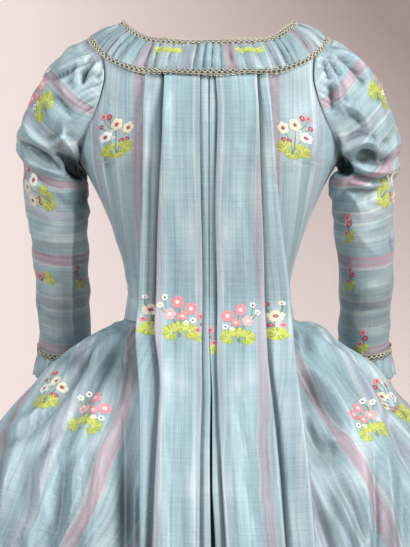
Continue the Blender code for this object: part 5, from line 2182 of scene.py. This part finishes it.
# Hollows of the skirts, pressed in a little and darkened with painted shade.
SKIRT_HOLLOWS_AND_SHADE = {
    Hand.LEFT: (Hollow(-98, -600, 14, 90, 6, 1.0), Hollow(-120, -414, 40, 46, 2, 1.0),
                Hollow(-172, -410, 34, 16, 1, 0.7), Hollow(-170, -640, 9, 60, 4, 0.3)),
    Hand.RIGHT: (Hollow(122, -448, 12, 26, 2, 0.6), Hollow(146, -518, 15, 28, 4, 0.8),
                 Hollow(152, -592, 14, 40, 5, 0.7), Hollow(174, -625, 10, 40, 4, 0.65),
                 Hollow(223, -620, 9, 40, 4, 0.75), Hollow(128, -392, 9, 18, 2, 0.5)),
}
SKIRT_CREASES = {
    Hand.LEFT: table_of(
        Crease, (-99, -376, -220, -542, 6, 4, -4), (-136, -387, -174, -452, 2, 4, -7),
        (-130, -387, -168, -454, 2, 4, 4), (-94, -388, -170, -581, 6, 5, -4),
        (-103, -384, -196, -560, 6, 5, 4), (-130, -402, -258, -490, 8, 5, -3.5),
        (-113, -364, -179, -450, 4, 5, 6), (-120, -368, -186, -447, 4, 5, -6),
        (-179, -450, -204, -560, 4, 8, 4), (-164, -424, -250, -520, 8, 6, -6),
        (-165, -414, -252, -502, 8, 6, 5), (-108, -440, -102, -690, 2, 17, -12),
        (-128, -480, -152, -690, 3, 13, 6), (-91, -540, -90, -660, 0, 5, 7),
        (-108, -405, -104, -430, 0, 3, -4), (-154, -480, -186, -720, 4, 7, 5),
        (-186, -480, -232, -740, 5, 8, 5), (-170, -500, -212, -740, 4, 7, -5),
        (-209, -505, -256, -720, 5, 8, -5), (-228, -470, -282, -700, 6, 8, 5),
        (-244, -480, -300, -700, 6, 8, -5), (-146, -392, -160, -440, 2, 9, -3),
    ),
    Hand.RIGHT: table_of(
        Crease, (107, -367, 216, -453, 8, 4, -4), (109, -403, 179, -542, 3, 6, -4),
        (122, -486, 200, -644, 3, 8, -5), (126, -366, 143, -375, 0, 4, -7),
        (114, -366, 151, -390, 3, 5, 6), (104, -369, 114, -404, 3, 6, 6),
        (110, -372, 129, -404, 2, 5, -6), (136, -383, 215, -478, 7, 6, 7),
        (128, -390, 205, -483, 5, 6, -6), (106, -418, 166, -498, 4, 8, -11),
        (118, -412, 178, -496, 5, 7, 6), (144, -503, 162, -534, 0, 9, -9),
        (114, -478, 136, -528, 2, 8, -8), (124, -550, 186, -690, 3, 6, 5),
        (140, -550, 206, -690, 3, 6, 5), (131, -552, 196, -690, 3, 5, -4),
        (126, -580, 160, -690, 3, 13, -9), (201, -520, 208, -720, 0, 7, -7),
        (190, -520, 196, -700, 0, 7, 5), (216, -520, 226, -720, 2, 7, 6),
        (215, -482, 256, -570, 4, 7, -7), (222, -474, 262, -560, 5, 6, 6),
        (160, -398, 230, -452, 6, 6, 5), (240, -500, 290, -700, 6, 8, -6),
    ),
}


# The whole gown


CUFF = Frill("cuff", 16, (FrillRow(1.2, 0, 0.7), FrillRow(15.5, 4.2, 2.2), FrillRow(31, 7, 3.0)),
             rows=20, scallop=0.8 * MM, seed=81)
LACE = Frill("lace", 14, (FrillRow(1.2, -4.5, 0.6), FrillRow(43, 1.0, 2.7)),
             rows=24, scallop=3.0 * MM, seed=91)


@dataclass
class Gown:
    """The whole gown: builds every piece, lays its flowers, and hides the frame's solids that the pieces
    stand for.
    """

    floss: list[bpy.types.Material]
    gimp: list[bpy.types.Material]
    figure: Figure = field(default_factory=Figure)
    cuff_thickness: float = 0.4 * MM
    lace_thickness: float = 0.3 * MM
    cuff_trim_points: int = 160
    gimp_stand: float = 2.4 * MM

    def silk(self, cloth: Cloth, node: str, finish: SilkFinish,
             sprays: Sequence[Placed] = (),
             thickness: float = CLOTH_THICKNESS) -> None:
        """Builds a silk piece with its flowers.

        Args:
            cloth: its cloth.
            node: the solid that it stands for.
            finish: its silk.
            sprays: its flowers.
            thickness: of the cloth, in metres.
        """
        piece = cloth.build(finish.material(), thickness)
        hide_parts(node)
        if sprays:
            flowers = Flowers(cloth)
            for placed in sprays:
                flowers.place(placed)
            woven = flowers.made.build(node + "_flowers", self.floss)
        cloth.flat_size()
        log.info("%s: %d points, flat %.3f by %.3f m", cloth.name, cloth.points[..., 0].size,
                 *cloth.flat_size())

    def trim(self, threads: Parts, node: str) -> None:
        """Builds a gimp from its threads."""
        piece = threads.build(node + "_gimp", self.gimp)
        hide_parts(node)
        log.info("%s: %d points", piece.name, threads.count)

    def dress_bodice(self) -> None:
        """The back and front panels."""
        bodice = Bodice(self.figure)
        for hand in Hand:
            for side, flowers in ((Side.BACK, BODICE_FLOWERS), (Side.FRONT, FRONT_FLOWERS)):
                finish = SilkFinish(f"bodice {side.value} {hand.word} silk", BODICE_SHIFT[hand])
                self.silk(bodice.panel(side, hand), f"{side.value}_{hand.word}", finish,
                          flowers[hand])

    def dress_skirt(self) -> None:
        """Both side skirts."""
        skirt = Skirt(self.figure, creases=SKIRT_CREASES)
        for hand in Hand:
            finish = SilkFinish(f"skirt {hand.word} silk", SKIRT_SHIFT, -1)
            self.silk(skirt.side(hand), f"skirt_{hand.word}", finish,
                      SKIRT_FLOWERS[hand])

    def dress_pleats(self) -> None:
        """Both sides of the pleated back."""
        pleats = PleatedBack(self.figure)
        for hand in Hand:
            finish = SilkFinish(f"pleats {hand.word} silk", PLEAT_SHIFT, strength=0.7)
            self.silk(pleats.side(hand), f"pleats_{hand.word}", finish,
                      PLEAT_FLOWERS[hand])

    def dress_neck(self) -> None:
        """The neck band, the robings and the two gimps along them."""
        neck = Neck(self.figure)
        for cloth, node in zip(neck.strip(), neck.nodes):
            finish = SilkFinish(node.replace("_", " ") + " silk", BAND_SHIFT)
            self.silk(cloth, node, finish, BAND_FLOWERS.get(node, ()))
        line = neck.stretch()
        into = unit(line.outer - line.inner)
        shoulder = 2.6 * MM * ease((line.inner[:, 2] + line.outer[:, 2]) / 2, -75 * MM, -25 * MM)
        shoulder = shoulder * (line.outer[:, 1] > -20 * MM)
        front = neck.over_front(line)
        pleats = neck.over_pleats(line)
        for node, edge, lift, shift in (("trim_neck_inner", line.inner, front + 0.3 * pleats, 0.0),
                                        ("trim_neck_outer", line.outer, front + pleats, -0.9 * MM)):
            stand = (lift + shoulder + self.gimp_stand)[:, None]
            middle = edge + into * shift + line.outward * stand
            self.trim(Gimp().threads(softened(middle, 6), softened(into, 14),
                                     softened(line.outward, 14)), node)

    def dress_arms(self) -> None:
        """Sleeves, cuffs, gimp and lace."""
        for hand in Hand:
            sleeve = Sleeve(self.figure, creases=SLEEVE_CREASES[hand],
                            hollows=SLEEVE_HOLLOWS_AND_SHADE[hand], slant=SLEEVE_SLANT[hand])
            finish = SilkFinish(f"sleeve {hand.word} silk", SLEEVE_SHIFT[hand], -1, Grain.ROUND)
            self.silk(sleeve.piece(hand), f"sleeve_{hand.word}", finish,
                      SLEEVE_FLOWERS[hand])
            ring = sleeve.form(hand).points[-1]
            self.silk(CUFF.piece(ring, hand), f"cuff_{hand.word}",
                      SilkFinish(f"cuff {hand.word} silk", CUFF_SHIFT),
                      thickness=self.cuff_thickness)
            lace = LACE.piece(ring, hand)
            piece = lace.build(LaceFinish(f"lace {hand.word}").material(), self.lace_thickness)
            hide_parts(f"lace_{hand.word}")
            lace.flat_size()
            lace.area()
            loop = even_ring(ring, self.cuff_trim_points)
            away = level_out(loop)
            threads = Gimp().threads(loop + away * self.gimp_stand, np.broadcast_to(UP, away.shape),
                                     away, closed=True)
            self.trim(threads, f"cuff_trim_{hand.word}")


def colour_sets() -> tuple[list[bpy.types.Material], list[bpy.types.Material]]:
    """The floss of the flowers, in the order of their numbers, and the gimp's threads."""
    colours = {
        Floss.ROSE: (0.76, 0.25, 0.29),
        Floss.BLUSH: (0.84, 0.40, 0.42),
        Floss.WHITE: (0.80, 0.78, 0.74),
        Floss.CREAM: (0.76, 0.70, 0.52),
        Floss.CRIMSON: (0.38, 0.07, 0.09),
        Floss.LEAF: (0.50, 0.56, 0.06),
        Floss.MOSS: (0.34, 0.42, 0.05),
        Floss.BROWN: (0.16, 0.09, 0.05),
        Floss.STEM: (0.16, 0.25, 0.08),
        Floss.VEIN: (0.60, 0.64, 0.24),
    }
    floss = [ThreadFinish(f"floss {each.name.lower()}", colours[each], 0.45) for each in Floss]
    gimp = [ThreadFinish("gimp cream", (0.74, 0.71, 0.58), 0.6),
            ThreadFinish("gimp gold", (0.60, 0.55, 0.40), 0.5),
            ThreadFinish("gimp grey", (0.10, 0.10, 0.08), 0.6)]
    return [finish.material() for finish in floss], [finish.material() for finish in gimp]


def main() -> None:
    """Builds the gown and its room round the frame."""
    logging.basicConfig(level=logging.INFO, format="%(name)s: %(message)s")
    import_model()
    floss, gimp = colour_sets()
    gown = Gown(floss, gimp)
    gown.dress_bodice()
    gown.dress_pleats()
    gown.dress_skirt()
    gown.dress_neck()
    gown.dress_arms()
    Studio().build()


if __name__ == "__main__":
    main()
